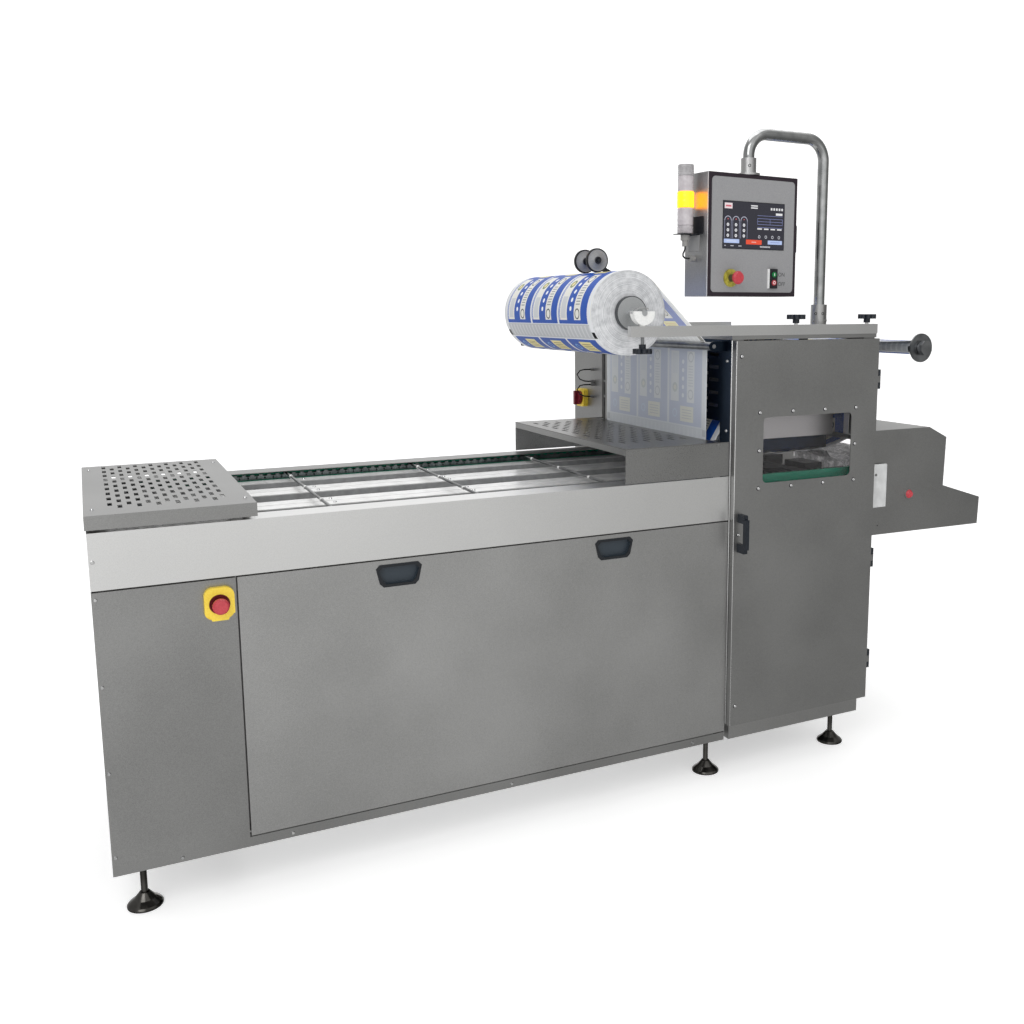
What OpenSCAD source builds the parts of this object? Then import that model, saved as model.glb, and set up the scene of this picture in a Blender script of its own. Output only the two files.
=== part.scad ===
// Inline tray sealer: a flighted tray conveyor on a long base cabinet, a sealing
// tower with a windowed door, a film roll on two arm bars, and a control box on a
// swivelling mast. X runs along the machine from infeed to outfeed, Y to the rear.
// Places below are measured from the infeed end, the front plane and the floor.

/* [Base cabinet] */
// Length of the base cabinet
base_len = 1715; // [1600:5:1800]
// Depth of the machine, front plane to rear plane
depth = 800; // [760:5:860]
// Height of the conveyor deck above the floor
deck_z = 950; // [940:1:980]
// Height of the fascia band under the deck
fascia_h = 133; // [110:1:140]
// Width of the deck flange along each side
flange_w = 77; // [74:1:85]
// Underside of the base cabinet above the floor
base_z = 125; // [110:1:150]
// Height of the plinth strip
plinth_h = 25; // [20:1:40]
// Width of the fixed drive bay panel
bay_w = 310; // [260:1:400]
// Depth of the folded edges of panels and doors
pan_d = 20; // [14:1:22]
// Sheet thickness of panels and covers
sheet = 2; // [1.5:0.1:2.5]
// Gap between neighbouring panels
panel_gap = 4; // [3:0.5:6]
// Side of the square frame tubes
tube = 40; // [30:1:45]
// Width of a flush panel handle at its top
flush_w = 110; // [90:1:130]
// Height of a flush panel handle
flush_h = 49; // [40:1:60]
// Share of the large panel's width at which each flush handle sits
flush_shares = [0.281, 0.725];

/* [Feet and screws] */
// Diameter of a levelling foot
foot_d = 84; // [70:1:100]
// Height of the domed part of a foot
foot_h = 34; // [26:1:40]
// Diameter of the threaded foot stem
stem_d = 16; // [12:1:20]
// Distance of the feet from the front and rear planes
foot_inset = 74; // [60:1:90]
// Distance of the end feet from the end of the base and tower
foot_end = 66; // [50:1:90]
// Diameter of a button head screw
screw_d = 9.5; // [8:0.5:12]
// Height of a button head screw
screw_h = 3; // [2:0.5:5]

/* [Conveyor] */
// Distance of the tray lanes from the front and rear planes
lane_in = 76; // [75:0.5:80]
// Width of one rail strip
strip_w = 53; // [40:1:53]
// Height of a rail strip
strip_h = 35; // [25:1:35]
// Top of the tray rails below the deck
rail_drop = 25; // [22:1:30]
// Place of the first flight rod
flight_x0 = 167; // [150:1:200]
// Place of the last flight rod past the tower's infeed side
flight_out = 48; // [30:1:52]
// Number of flight rods on the carrying run
flight_count = 5; // [3:1:5]
// Radius of a flight rod
flight_r = 4; // [3:0.5:4]
// Pitch radius of the chain sprockets
sprocket_r = 50.5; // [46:0.5:54]
// Height of the chain links
chain_h = 12; // [8:1:12]
// Width of the chain
chain_w = 20; // [14:1:20]
// Place of the drive shaft
drive_x = 90; // [85:1:110]
// Distance of the tail shaft before the tower's outfeed side
tail_in = 88; // [78:1:98]
// Radius of the conveyor shafts
shaft_r = 12.5; // [10:0.5:15]

/* [Infeed cover and tunnel guard] */
// Length of the infeed cover
cover_len = 371; // [340:1:400]
// Top of the infeed cover above the deck
cover_rise = 40; // [35:1:50]
// Depth of the cover's side flanges
cover_flange = 33; // [25:1:36]
// Overhang of the covers past the cabinet planes
cover_over = 3; // [3:0.5:5]
// Width of the slots in the infeed cover and the guard
hole_w = 10; // [8:1:12]
// Reach of the tunnel guard before the tower
guard_len = 354; // [320:1:390]
// Height of the tunnel guard above the deck
guard_rise = 103.5; // [95:0.5:106]
// Gap under the guard's side plates
guard_gap = 3; // [2:0.5:6]
// Depth of the lip along the guard's infeed edge
guard_lip = 20; // [15:1:30]

/* [Tower] */
// Width of the tower door
tower_w = 539; // [530:1:550]
// Underside of the tower door above the floor
door_z0 = 175; // [160:1:200]
// Top of the tower door
door_z1 = 1349; // [1340:1:1360]
// Thickness of the tower's folded top plate
cap_h = 12; // [10:1:16]
// Underside of the tower plinth
tower_z0 = 118; // [110:1:125]
// Width of the door window
window_w = 335; // [300:1:360]
// Height of the door window
window_h = 198; // [160:1:220]
// Left edge of the window from the door's left edge
window_x = 103; // [90:1:120]
// Bottom of the window above the deck
window_drop = -26; // [-40:1:-10]
// Corner radius of the window
window_r = 15; // [8:1:25]
// Height of the door handle
handle_h = 116; // [100:1:130]
// Reach of the door handle in front of the door
handle_reach = 42; // [35:1:50]

/* [Film unit] */
// Distance of the film roll's axis before the tower
roll_out = 301; // [295:1:307]
// Height of the film roll's axis
roll_z = 1430; // [1428:1:1436]
// Radius of the full film roll
roll_r = 120; // [90:1:121]
// Distance of the film's edges from the front and rear planes
film_in = 80; // [78:1:100]
// Radius of the roll's core bore
core_r = 39; // [36:0.5:42]
// Radius of the core flange discs
disc_r = 48; // [44:1:56]
// Width of an arm bar
bar_w = 20; // [18:1:30]
// Height of an arm bar
bar_h = 30; // [26:1:32]
// Reach of the arm bars before the tower
bar_out = 342; // [334:1:348]
// Distance of the upper idler before the tower
idler_out = 47; // [45:1:51]
// Height of the upper idler
idler_z = 1333; // [1330:1:1338]
// Radius of the idler rollers
idler_r = 12; // [10:0.5:13]
// Height of the lower idler above the deck
idler_low = 88; // [84:1:92]
// Radius of the measuring wheels
wheel_r = 35.5; // [32:0.5:38]
// Distance of the waste rewinder past the tower
rewind_out = 258; // [232:1:272]
// Height of the waste rewinder
rewind_z = 1312; // [1310:0.5:1314]
// Radius of the wound waste film
waste_r = 22.5; // [18:0.5:24]
// Radius of the rewinder disc
rewind_disc_r = 47.5; // [40:0.5:52]
// Flange radius of the star knobs
knob_r = 28; // [24:1:30]

/* [Outfeed] */
// Length of the outfeed hood
hood_len = 327; // [300:1:350]
// Height of the hood above the deck
hood_rise = 105; // [95:1:110]
// End of the outfeed chute from the tower
chute_len = 488; // [450:1:520]

/* [Control arm] */
// Distance of the mast from the tower's outfeed side
mast_in = 140; // [130:1:150]
// Distance of the mast behind the front plane
mast_y = 106; // [96:1:116]
// Radius of the mast tube
mast_r = 17; // [15:0.5:19]
// Height of the mast's cross run
mast_z = 1954; // [1930:1:1980]
// Reach of the mast's cross run
mast_reach = 289; // [285:1:300]
// Angle of the cross run from the machine's length
mast_turn = 2.4; // [0:0.1:5]
// Bend radius of the mast tube
bend_r = 65; // [50:1:75]
// Width of the control box
box_w = 343; // [320:1:350]
// Height of the control box
box_h = 353; // [330:1:370]
// Depth of the control box
box_d = 107; // [95:1:115]
// Underside of the control box
box_z = 1478; // [1470:1:1490]
// Turn of the control box towards the infeed operator
box_turn = 5.5; // [0:0.5:10]
// Radius of the signal lamp
lamp_r = 24; // [20:0.5:26]

/* [Hidden] */
$fn = 48;

// Clearances shared by the whole machine
run_gap = 0.05;
seat_gap = 0.3;
cut = 1;

// Derived levels and places
panel_z1 = deck_z - fascia_h - panel_gap;
panel_z0 = base_z + plinth_h;
mid_y = depth / 2;
tower_x0 = base_len + panel_gap;
tower_x1 = tower_x0 + tower_w;
tail_x = tower_x1 - tail_in;
guard_x0 = tower_x0 - guard_len;
roll_x = tower_x0 - roll_out;
bar_x0 = tower_x0 - bar_out;
idler_x = tower_x0 - idler_out;
rewind_x = tower_x1 + rewind_out;
film_w = depth - 2 * film_in;
lane_pitch = (depth - 2 * lane_in) / 3;
lane_gap = lane_pitch - 2 * strip_w - panel_gap;
flight_pitch = (tower_x0 + flight_out - flight_x0) / (flight_count - 1);
cap_z0 = door_z1 + panel_gap - cut;
cap_z1 = cap_z0 + cap_h;
bar_z1 = cap_z1 + bar_h;
bar_y = 0;
rail_z = deck_z - rail_drop;
door_y = -pan_d - cut;
frame_in = pan_d + panel_gap;
grip_front = door_y - handle_reach;
cab_d = 225;
cab_gap = 26;
cab_y0 = depth + cab_gap;
cab_y1 = cab_y0 + cab_d;
latch_h = 24;
origin_x = (tower_x1 + chute_len - cover_over) / 2;
origin_y = (grip_front + cab_y1 + sheet + latch_h) / 2;

// A box from its lowest corner to its highest corner
module span(lo, hi) {
  translate(lo) cube(hi - lo);
}

// A round bar along Y between two depths
module rod_y(x, z, y0, y1, r) {
  translate([x, y0, z]) rotate([-90, 0, 0]) cylinder(r = r, h = y1 - y0);
}

// A round bar along X between two places
module rod_x(y, z, x0, x1, r) {
  translate([x0, y, z]) rotate([0, 90, 0]) cylinder(r = r, h = x1 - x0);
}

// A hollow tube between two corners, open along its longest side
module tube_span(lo, hi) {
  d = hi - lo;
  inset = [for (v = d) v == max(d) ? -cut : tube_wall];
  difference() {
    span(lo, hi);
    span(lo + inset, hi - inset);
  }
}

// A closed sheet housing between two corners
module housing(lo, hi) {
  difference() {
    span(lo, hi);
    span(lo + [sheet, sheet, sheet], hi - [sheet, sheet, sheet]);
  }
}

// A button head screw whose head stands out along -Y from a face
module front_screw(x, face_y, z) {
  translate([x, face_y, z]) rotate([90, 0, 0]) button_head();
}

// The domed head of a button head screw, standing on z = 0
module button_head() {
  difference() {
    cylinder(r1 = screw_d / 2, r2 = screw_d * crown_share, h = screw_h, $fn = 24);
    translate([0, 0, screw_h / 2]) cylinder(r = screw_d * socket_share, h = screw_h, $fn = 6);
  }
}

// A plate outline in X and Z, carried back along Y
module slab(points, y0, y1) {
  translate([0, y1, 0]) rotate([90, 0, 0]) linear_extrude(y1 - y0) polygon(points);
}

// A rounded rectangle centred on the origin
module round_rect(w, h, r) {
  offset_free = [w / 2 - r, h / 2 - r];
  union() {
    square([w, h - 2 * r], center = true);
    square([w - 2 * r, h], center = true);
    for (sx = [-1, 1], sy = [-1, 1])
      translate([sx * offset_free[0], sy * offset_free[1]]) circle(r = r);
  }
}

// A star knob on z = 0: hub below, lobed flange above, bored blind for its stud
module star_knob(stud) {
  difference() {
    union() {
      cylinder(r = knob_r * hub_share, h = knob_hub_h + cut);
      translate([0, 0, knob_hub_h]) linear_extrude(knob_flange_h) union() {
        circle(r = knob_r * web_share);
        for (i = [0 : knob_lobes - 1])
          rotate((i + lobe_share) * 360 / knob_lobes) translate([knob_r * (1 - lobe_share), 0])
            circle(r = knob_r * lobe_share);
      }
    }
    translate([0, 0, -cut]) cylinder(r = stud + run_gap, h = knob_hub_h + cut + knob_flange_h / 2);
  }
}

// Small sizes of shared details
tube_wall = 2;
crown_share = 0.36;
socket_share = 0.18;
hub_share = 0.36;
web_share = 0.78;
lobe_share = 0.3;
knob_hub_h = 12;
knob_flange_h = 14;
knob_lobes = 8;
stud_r = 5;

// Base frame: corner and bay posts, long rails, cross rails, conveyor beams
beam_t = 4;
beam_drop = 45;
beam_h = 130;
beam_z1 = deck_z - beam_drop;
top_rail_z = beam_z1 - beam_h;
cross_t = 8;
cross_w = 40;
cross_z = rail_z - strip_h;
conv_x0 = 30;
conv_end = 18;
conv_x1 = tower_x1 - conv_end;
post_xs = [pan_d + panel_gap, bay_w - tube / 2, base_len - frame_in - tube];
rear_y = depth - frame_in - tube;
support_step = 43;
support_xs = [for (i = [0 : 3]) flight_x0 + support_step + i * flight_pitch];
tool_in = 76;
tool_x0 = tower_x0 + tool_in;
tool_len = 350;
tool_x1 = tool_x0 + tool_len;

module base_frame() color("#8d8f90") {
  for (x = post_xs, y = [frame_in, rear_y])
    tube_span([x, y, base_z], [x + tube, y + tube, top_rail_z]);
  for (y = [frame_in, rear_y]) {
    tube_span([post_xs[0], y, top_rail_z], [tower_x1 - tube, y + tube, top_rail_z + tube]);
    tube_span([post_xs[0] + tube, y, base_z], [post_xs[1], y + tube, base_z + tube]);
    tube_span([post_xs[1] + tube, y, base_z], [post_xs[2], y + tube, base_z + tube]);
  }
  for (x = post_xs)
    tube_span([x, frame_in + tube, base_z], [x + tube, rear_y, base_z + tube]);
  for (y = [frame_in - beam_t, depth - frame_in])
    difference() {
      span([conv_x0, y, top_rail_z], [conv_x1, y + beam_t, beam_z1]);
      for (x = [drive_x, tail_x])
        rod_y(x, shaft_z, y - cut, y + beam_t + cut, shaft_r + panel_gap);
    }
  for (x = concat(support_xs, [tool_x0 - tube]))
    span([x - cross_w / 2, frame_in, cross_z - cross_t],
      [x + cross_w / 2, depth - frame_in, cross_z]);
  span([tail_x + chain_r1 + sheet, frame_in, cross_z - cross_t], [tower_x1 - sheet, depth - frame_in,
      cross_z]);
}

// Fascia band: folded sheet with the deck flange on top
module fascia_band() color("#c4c5c3")
  difference() {
    span([0, 0, deck_z - fascia_h], [base_len, flange_w, deck_z]);
    span([-cut, sheet, deck_z - fascia_h + sheet], [base_len + cut, flange_w + cut, deck_z - sheet]);
    span([-cut, pan_d - panel_gap, deck_z - fascia_h - cut], [base_len + cut, flange_w + cut,
        deck_z - sheet - cut]);
    span([-cut, sheet, deck_z - fascia_h - cut], [sheet + seat_gap, flange_w, deck_z - sheet]);
  }

// End, rear and drive bay panels and the plinth strip
module body_panels() color("#989996") {
  difference() {
    span([0, sheet + seat_gap, panel_z0], [sheet, depth - sheet - seat_gap, deck_z - sheet - seat_gap]);
    span([-cut, flange_w, rail_z - strip_h], [sheet + cut, depth - flange_w, deck_z]);
  }
  difference() {
    span([0, depth - flange_w, panel_z0], [base_len, depth, deck_z]);
    span([-cut, depth - flange_w - cut, panel_z0 - cut],
      [base_len + cut, depth - sheet, deck_z - sheet]);
  }
  difference() {
    span([0, 0, panel_z0], [bay_w, pan_d - panel_gap, panel_z1]);
    span([sheet, sheet, panel_z0 + sheet], [bay_w - sheet, pan_d, panel_z1 - sheet]);
    span([-cut, sheet, panel_z0 + sheet], [sheet + cut, pan_d, panel_z1 - sheet]);
    rod_y(estop_x, estop_z, -cut, sheet + cut, estop_hole_r);
  }
  rod_x(tilt_y, tilt_z, bay_w - cut, panel_x0 + tilt_y, tilt_r);
  rod_x(tilt_y, tilt_z, lug_x, panel_x1 + cut, tilt_r);
  rod_x(tilt_y, tilt_z, lug_x, lug_x + tilt_y, tilt_y - tilt_r);
  span([lug_x, tilt_y, panel_z0 - cut], [lug_x + tilt_y, pan_d - panel_gap, tilt_z]);
  span([lug_x, sheet, panel_z0 - cut], [lug_x + tilt_y, pan_d - panel_gap, panel_z0 + seat_gap]);
  difference() {
    span([0, sheet, base_z], [base_len, depth - sheet, panel_z0]);
    span([sheet, 2 * sheet, base_z - cut], [base_len - sheet, depth - 2 * sheet, panel_z0 + cut]);
  }
}

// Screws of the base: left column, plinth row, cover and rail screws
screw_edge = 8;
screw_shares = [0.035, 0.35, 0.665, 0.975];
column_zs = [for (s = screw_shares) panel_z0 + s * (panel_z1 - panel_z0)];
plinth_shares = [0.089, 0.241, 0.588, 0.934];
window_pitch = 121;
module body_screws() color("#b9bbb9") {
  for (z = concat(column_zs, [deck_z - fascia_h / 2]))
    front_screw(screw_edge, 0, z);
  for (s = plinth_shares)
    front_screw(s * base_len, sheet, base_z + plinth_h * plinth_screw_share);
  for (x = support_xs, i = [0 : 2], s = [-1, 1])
    translate([x, lane_y(i) + s * (lane_gap + strip_w) / 2, rail_z]) button_head();
  for (x = [2 * screw_edge, cover_x1 - 2 * screw_edge], y = [foot_inset, depth - foot_inset])
    translate([x, y, cover_z1]) button_head();
  for (z = [deck_z + fascia_h, door_z1 - tower_screw_drop])
    translate([tower_x0, screw_edge * 3, z]) rotate([0, -90, 0]) button_head();
}
plinth_screw_share = 0.45;
tower_screw_drop = 60;
function lane_y(i) = mid_y + (i - 1) * lane_pitch;

// Levelling feet: domed pad, threaded stem and lock nut
module levelling_feet() color("#a7a9aa") {
  for (x = [foot_end, base_len - foot_inset / 4, tower_x1 - foot_end + sheet], y = [foot_inset,
      depth - foot_inset])
    translate([x, y, 0]) foot(x > base_len ? tower_z0 : base_z);
}
foot_skirt = 8;
nut_h = 12;
foot_plate = 6;
module foot(top) {
  neck = stem_d * 0.75;
  rotate_extrude() polygon([[0, 0], [foot_d / 2, 0], [foot_d / 2, foot_skirt / 2], [foot_d * 0.46,
      foot_skirt],
    [foot_d * 0.3, foot_h * 0.55], [neck, foot_h], [0, foot_h]]);
  translate([0, 0, foot_h]) cylinder(r = stem_d / 2, h = top - foot_h);
  translate([0, 0, top - nut_h - foot_plate]) cylinder(r = stem_d * 0.9, h = nut_h, $fn = 6);
  translate([0, 0, top - foot_plate]) cylinder(r = stem_d * 1.7, h = foot_plate);
}

// Large front panel, a folded pan that tilts out about two pins at its foot
panel_x0 = bay_w + panel_gap;
panel_x1 = base_len;
panel_foot_z = panel_z0 + panel_gap;
tilt_y = 8;
tilt_z = panel_foot_z + tilt_y;
tilt_r = 3;
lug_x = panel_x1 - panel_gap - sheet - tilt_y;
flush_drop = 16;
flush_z = panel_z1 - flush_drop - flush_h / 2;
function flush_x(s) = panel_x0 + s * (panel_x1 - panel_x0);
module front_panel() color("#8f908d")
  difference() {
    span([panel_x0, 0, panel_foot_z], [panel_x1, pan_d - panel_gap, panel_z1]);
    span([panel_x0 + sheet, sheet, panel_foot_z + sheet], [panel_x1 - sheet, pan_d, panel_z1 - sheet]);
    span([lug_x - cut, sheet, panel_foot_z - cut], [lug_x + tilt_y + cut, pan_d, panel_foot_z + sheet + cut]);
    rod_x(tilt_y, tilt_z, panel_x0 - cut, panel_x1 + cut, tilt_r + run_gap);
    for (s = flush_shares)
      slab(flush_outline(flush_x(s), 0), -cut, sheet + cut);
  }

// Tapered outline of a flush handle, grown by a margin
function flush_outline(x, m) = let(t = flush_w / 2 + m, b = flush_w * 0.42 + m, h = flush_h / 2 + m,
    c = flush_h * 0.2)
  [[x - t, flush_z + h - c], [x - t + c, flush_z + h], [x + t - c, flush_z + h], [x + t, flush_z + h - c],
  [x + b, flush_z - h + c], [x + b - c, flush_z - h], [x - b + c, flush_z - h], [x - b, flush_z - h + c]];

// Flush pull handles: rim on the panel face and a dished cup behind it
rim_w = 5;
rim_t = 2;
cup_d = 13;
module panel_handles() color("#2c333c")
  for (s = flush_shares)
    difference() {
      union() {
        slab(flush_outline(flush_x(s), rim_w), -rim_t, 0);
        slab(flush_outline(flush_x(s), -seat_gap), -rim_t, cup_d);
      }
      slab(flush_outline(flush_x(s), -rim_t - seat_gap), -rim_t - cut, cup_d - rim_t);
    }

// Emergency stop on the drive bay panel
estop_in = 40;
estop_drop = 57;
estop_x = bay_w - estop_in;
estop_z = panel_z1 - estop_drop;
estop_hole_r = 11.3;
estop_r = 19;
estop_stem_r = 11;
estop_reach = 45;
estop_cap_h = 16;
module estop_knob() {
  cylinder(r = estop_stem_r, h = estop_reach - estop_cap_h + pan_d);
  translate([0, 0, estop_reach - estop_cap_h + pan_d]) {
    cylinder(r1 = estop_r * 0.86, r2 = estop_r, h = estop_cap_h * 0.3);
    translate([0, 0, estop_cap_h * 0.3]) cylinder(r = estop_r, h = estop_cap_h * 0.35);
    translate([0, 0, estop_cap_h * 0.65]) cylinder(r1 = estop_r, r2 = estop_r * 0.8, h = estop_cap_h * 0.35);
  }
}
module base_estop() color("#c23c44")
  translate([estop_x, pan_d, estop_z]) rotate([90, 0, 0]) estop_knob();

// Infeed cover: folded perforated sheet on four spacers
cover_x1 = cover_len - cover_over;
cover_z1 = deck_z + cover_rise;
hole_cols = 13;
hole_rows = 9;
hole_l = 40;
hole_pitch_x = 21;
hole_shares = [0.0975, 0.04625, 0.1175];
hole_pitch_y = depth * hole_shares[0];
hole_step_y = depth * hole_shares[1];
hole_y0 = depth * hole_shares[2];
cover_hole_x0 = 54;
// Staggered slots through a sheet whose top is at z
module perforation(x0, z, cols, high_first, rows) {
  translate([0, 0, z - sheet - cut]) linear_extrude(sheet + 2 * cut)
    for (i = [0 : cols - 1], j = [0 : rows - 1])
      translate([x0 + i * hole_pitch_x, hole_y0 + j * hole_pitch_y + ((i + high_first) % 2) * hole_step_y])
        square([hole_w, hole_l], center = true);
}
module infeed_cover() color("#a8a9a6") {
  difference() {
    span([-cover_over, -cover_over, cover_z1 - cover_flange], [cover_x1, depth + cover_over, cover_z1]);
    span([-cover_over + sheet, -cover_over + sheet, cover_z1 - cover_flange - cut],
      [cover_x1 + cut, depth + cover_over - sheet, cover_z1 - sheet]);
    perforation(cover_hole_x0, cover_z1, hole_cols, 1, hole_rows);
  }
  span([cover_x1 - sheet, -cover_over + sheet, cover_z1 - pan_d / 2],
    [cover_x1, depth + cover_over - sheet, cover_z1 - sheet]);
  for (x = [2 * screw_edge, cover_x1 - 2 * screw_edge], y = [foot_inset, depth - foot_inset])
    translate([x, y, deck_z]) cylinder(r = screw_d, h = cover_rise - sheet);
}

// Chain guides: plastic ledges that carry the chains, open towards the lanes
guide_w = 48;
chain_in = 21;
chain_drop = 20;
guide_y1 = frame_in + guide_w;
chain_y = frame_in + chain_in;
chain_z = deck_z - chain_drop;
shaft_z = chain_z - sprocket_r;
guide_start = 60;
guide_stop = 65;
guide_x0 = drive_x + guide_start;
guide_x1 = tail_x - guide_stop;
groove = chain_w + 2 * seat_gap;
lip_t = 10;
module one_guide() {
  difference() {
    span([guide_x0, frame_in, cross_z], [guide_x1, guide_y1, chain_z + chain_h / 2]);
    span([guide_x0 - cut, chain_y - groove / 2, chain_z - chain_h / 2 - seat_gap],
      [guide_x1 + cut, guide_y1 + cut, chain_z + chain_h]);
  }
  span([guide_x0, frame_in, chain_z], [conv_x1, frame_in + lip_t, chain_z + chain_h]);
  span([guide_x1 - cut, frame_in, shaft_z + 1.5 * shaft_r], [conv_x1, frame_in + lip_t, chain_z + cut]);
}
module mirrored() {
  children();
  translate([0, depth, 0]) mirror([0, 1, 0]) children();
}
module chain_guides() color("#1f7a5c")
  mirrored() one_guide();

// Conveyor chains: endless loops with link gaps along the carrying run
link_pitch = 15.875;
link_gap = 4;
chain_r0 = sprocket_r - chain_h / 2;
chain_r1 = sprocket_r + chain_h / 2;
link_count = floor((tail_x - drive_x) / link_pitch / 2);
module chain_loop(r) {
  for (x = [drive_x, tail_x])
    translate([x, shaft_z]) circle(r = r);
  translate([drive_x, shaft_z - r]) square([tail_x - drive_x, 2 * r]);
}
module conveyor_chains() color("#3b3f42")
  mirrored()
    translate([0, chain_y + chain_w / 2, 0]) rotate([90, 0, 0]) linear_extrude(chain_w)
      difference() {
        chain_loop(chain_r1);
        chain_loop(chain_r0);
        for (i = [1 : link_count])
          translate([drive_x + 2 * i * link_pitch - link_gap / 2, shaft_z + chain_r1 - chain_h / 4])
            square([link_gap, chain_h]);
      }

// Conveyor shafts with their sprockets
sprocket_w = 12;
teeth = 20;
module conveyor_shaft(x) {
  rod_y(x, shaft_z, bearing_y, depth - bearing_y, shaft_r);
  mirrored()
    translate([x, chain_y + sprocket_w / 2, shaft_z]) rotate([90, 0, 0]) {
      difference() {
        cylinder(r = chain_r0 - seat_gap, h = sprocket_w);
        for (i = [0 : teeth - 1])
          rotate(i * 360 / teeth) translate([chain_r0 + sprocket_w * 0.1, 0, -cut])
            cylinder(r = link_gap, h = sprocket_w + 2 * cut, $fn = 16);
      }
      translate([0, 0, -sprocket_w]) cylinder(r = shaft_r * 1.8, h = sprocket_w + cut);
    }
}
module drive_shaft() color("#a4a7a9") conveyor_shaft(drive_x);
module tail_shaft() color("#a4a7a9") conveyor_shaft(tail_x);

// Drive units: conveyor bearings and gear motor, tool lift with guide columns
bearing_y = 6;
bearing_w = 60;
bearing_t = frame_in - beam_t - bearing_y;
motor_l = 150;
motor_r = 60;
gear_w = 110;
gear_h = 140;
lift_z = 640;
lift_plate_t = 15;
cyl_r = 45;
piston_r = 16;
tool_cx = (tool_x0 + tool_x1) / 2;
tool_drop = 10;
tool_z1 = rail_z - tool_drop;
tool_block_h = 60;
tool_z0 = tool_z1 - tool_block_h;
lift_stroke = 84;
column_r = 12;
column_in = 22;
column_dx = tool_len / 2 - column_in;
column_dy = lane_pitch / 2;
sleeve_h = 85;
sleeve_r = 18;
gear_gap = 60;
gear_y = depth - frame_in - tube - gear_w - gear_gap;
module drive_units() color("#6d7378") {
  for (x = [drive_x, tail_x])
    mirrored()
      difference() {
        span([x - bearing_w / 2, bearing_y, shaft_z - bearing_w / 2],
          [x + bearing_w / 2, bearing_y + bearing_t, shaft_z + bearing_w / 2]);
        rod_y(x, shaft_z, bearing_y - cut, bearing_y + bearing_t + cut, shaft_r + run_gap);
      }
  difference() {
    union() {
      span([drive_x - gear_w / 2, gear_y, shaft_z - gear_h / 2], [drive_x + gear_w / 2, gear_y + gear_w,
          shaft_z + bearing_w / 4]);
      translate([drive_x, gear_y + gear_w / 2, shaft_z - gear_h / 2 - motor_l]) cylinder(r = motor_r,
          h = motor_l + cut);
      span([drive_x - gear_w / 2, rear_y - gear_gap - cut, top_rail_z], [drive_x - gear_w / 2 + beam_t,
          rear_y, shaft_z]);
    }
    rod_y(drive_x, shaft_z, gear_y - cut, gear_y + gear_w + cut, shaft_r + run_gap);
  }
  difference() {
    span([tool_x0, tube + pan_d, lift_z], [tool_x1, depth - tube - pan_d, lift_z + lift_plate_t]);
    translate([tool_cx, mid_y, lift_z - cut]) cylinder(r = cyl_r * 0.6, h = lift_plate_t + 2 * cut);
  }
  translate([tool_cx, mid_y, lift_z + lift_plate_t]) difference() {
    cylinder(r = cyl_r, h = tool_z0 - sleeve_h / 2 - lift_z - lift_plate_t);
    translate([0, 0, cut]) cylinder(r = piston_r + run_gap, h = tool_z0);
  }
  for (sx = [-1, 1], sy = [-1, 1])
    translate([tool_cx + sx * column_dx, mid_y + sy * column_dy, lift_z + lift_plate_t])
      cylinder(r = column_r, h = tool_z1 - 2 * lift_plate_t - lift_z);
}

// Tray rails: polished folded strips, two to a lane
module rail_strip(x0, x1, y) {
  difference() {
    span([x0, y, rail_z - strip_h], [x1, y + strip_w, rail_z]);
    span([x0 - cut, y + sheet, rail_z - strip_h - cut], [x1 + cut, y + strip_w - sheet, rail_z - sheet]);
  }
}
module tray_rails() color("#d4d6d6")
  for (i = [0 : 2], side = [0, 1]) {
    y = lane_y(i) + (side == 0 ? -lane_gap / 2 - strip_w : lane_gap / 2);
    rail_strip(guide_x0, tool_x0 - pan_d, y);
    rail_strip(tool_x1 + tube, tower_x1, y);
  }

// Flight rods carried by the chains
module flight_rods() color("#b7b9b8")
  for (i = [0 : flight_count - 1]) {
    x = flight_x0 + i * flight_pitch;
    rod_y(x, flight_z, chain_y - chain_w / 2, depth - chain_y + chain_w / 2, flight_r);
    for (y = [chain_y, depth - chain_y])
      span([x - flight_r * 1.5, y - chain_w / 3, flight_z - flight_r], [x + flight_r * 1.5,
          y + chain_w / 3, flight_z]);
  }
flight_z = chain_z + chain_h / 2 + seat_gap + flight_r;

// Tunnel guard: folded cover that swings up about its outfeed edge
guard_stop = 41;
side_stop = 7;
pin_in = 6;
pin_drop = 6.5;
guard_x1 = tower_x0 - guard_stop;
guard_z1 = deck_z + guard_rise;
guard_side_x1 = tower_x0 - side_stop;
guard_pin_x = guard_x1 - pin_in;
guard_pin_z = guard_z1 - pin_drop;
guard_pin_r = 4;
guard_hole_x0 = guard_x0 + guard_stop;
module tunnel_guard() color("#a2a3a0")
  difference() {
    union() {
      span([guard_x0, -cover_over, guard_z1 - sheet], [guard_x1, depth + cover_over, guard_z1]);
      span([guard_x0, -cover_over, guard_z1 - guard_lip], [guard_x0 + sheet, depth + cover_over, guard_z1]);
      for (y = [-cover_over, depth + cover_over - sheet])
        span([guard_x0, y, deck_z + guard_gap], [guard_side_x1, y + sheet, guard_z1]);
    }
    translate([0, hole_pitch_y / 2, 0])
      perforation(guard_hole_x0, guard_z1, hole_cols - 1, 1, hole_rows - 1);
    mirrored()
      span([guard_pin_x - 5 * guard_pin_r, sheet - cover_over, guard_z1 - guard_lip], [guard_x1 + cut,
          2 * guard_pin_r, guard_z1 + cut]);
    rod_y(guard_pin_x, guard_pin_z, -cover_over - cut, depth + cover_over + cut, guard_pin_r + run_gap);
  }

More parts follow.
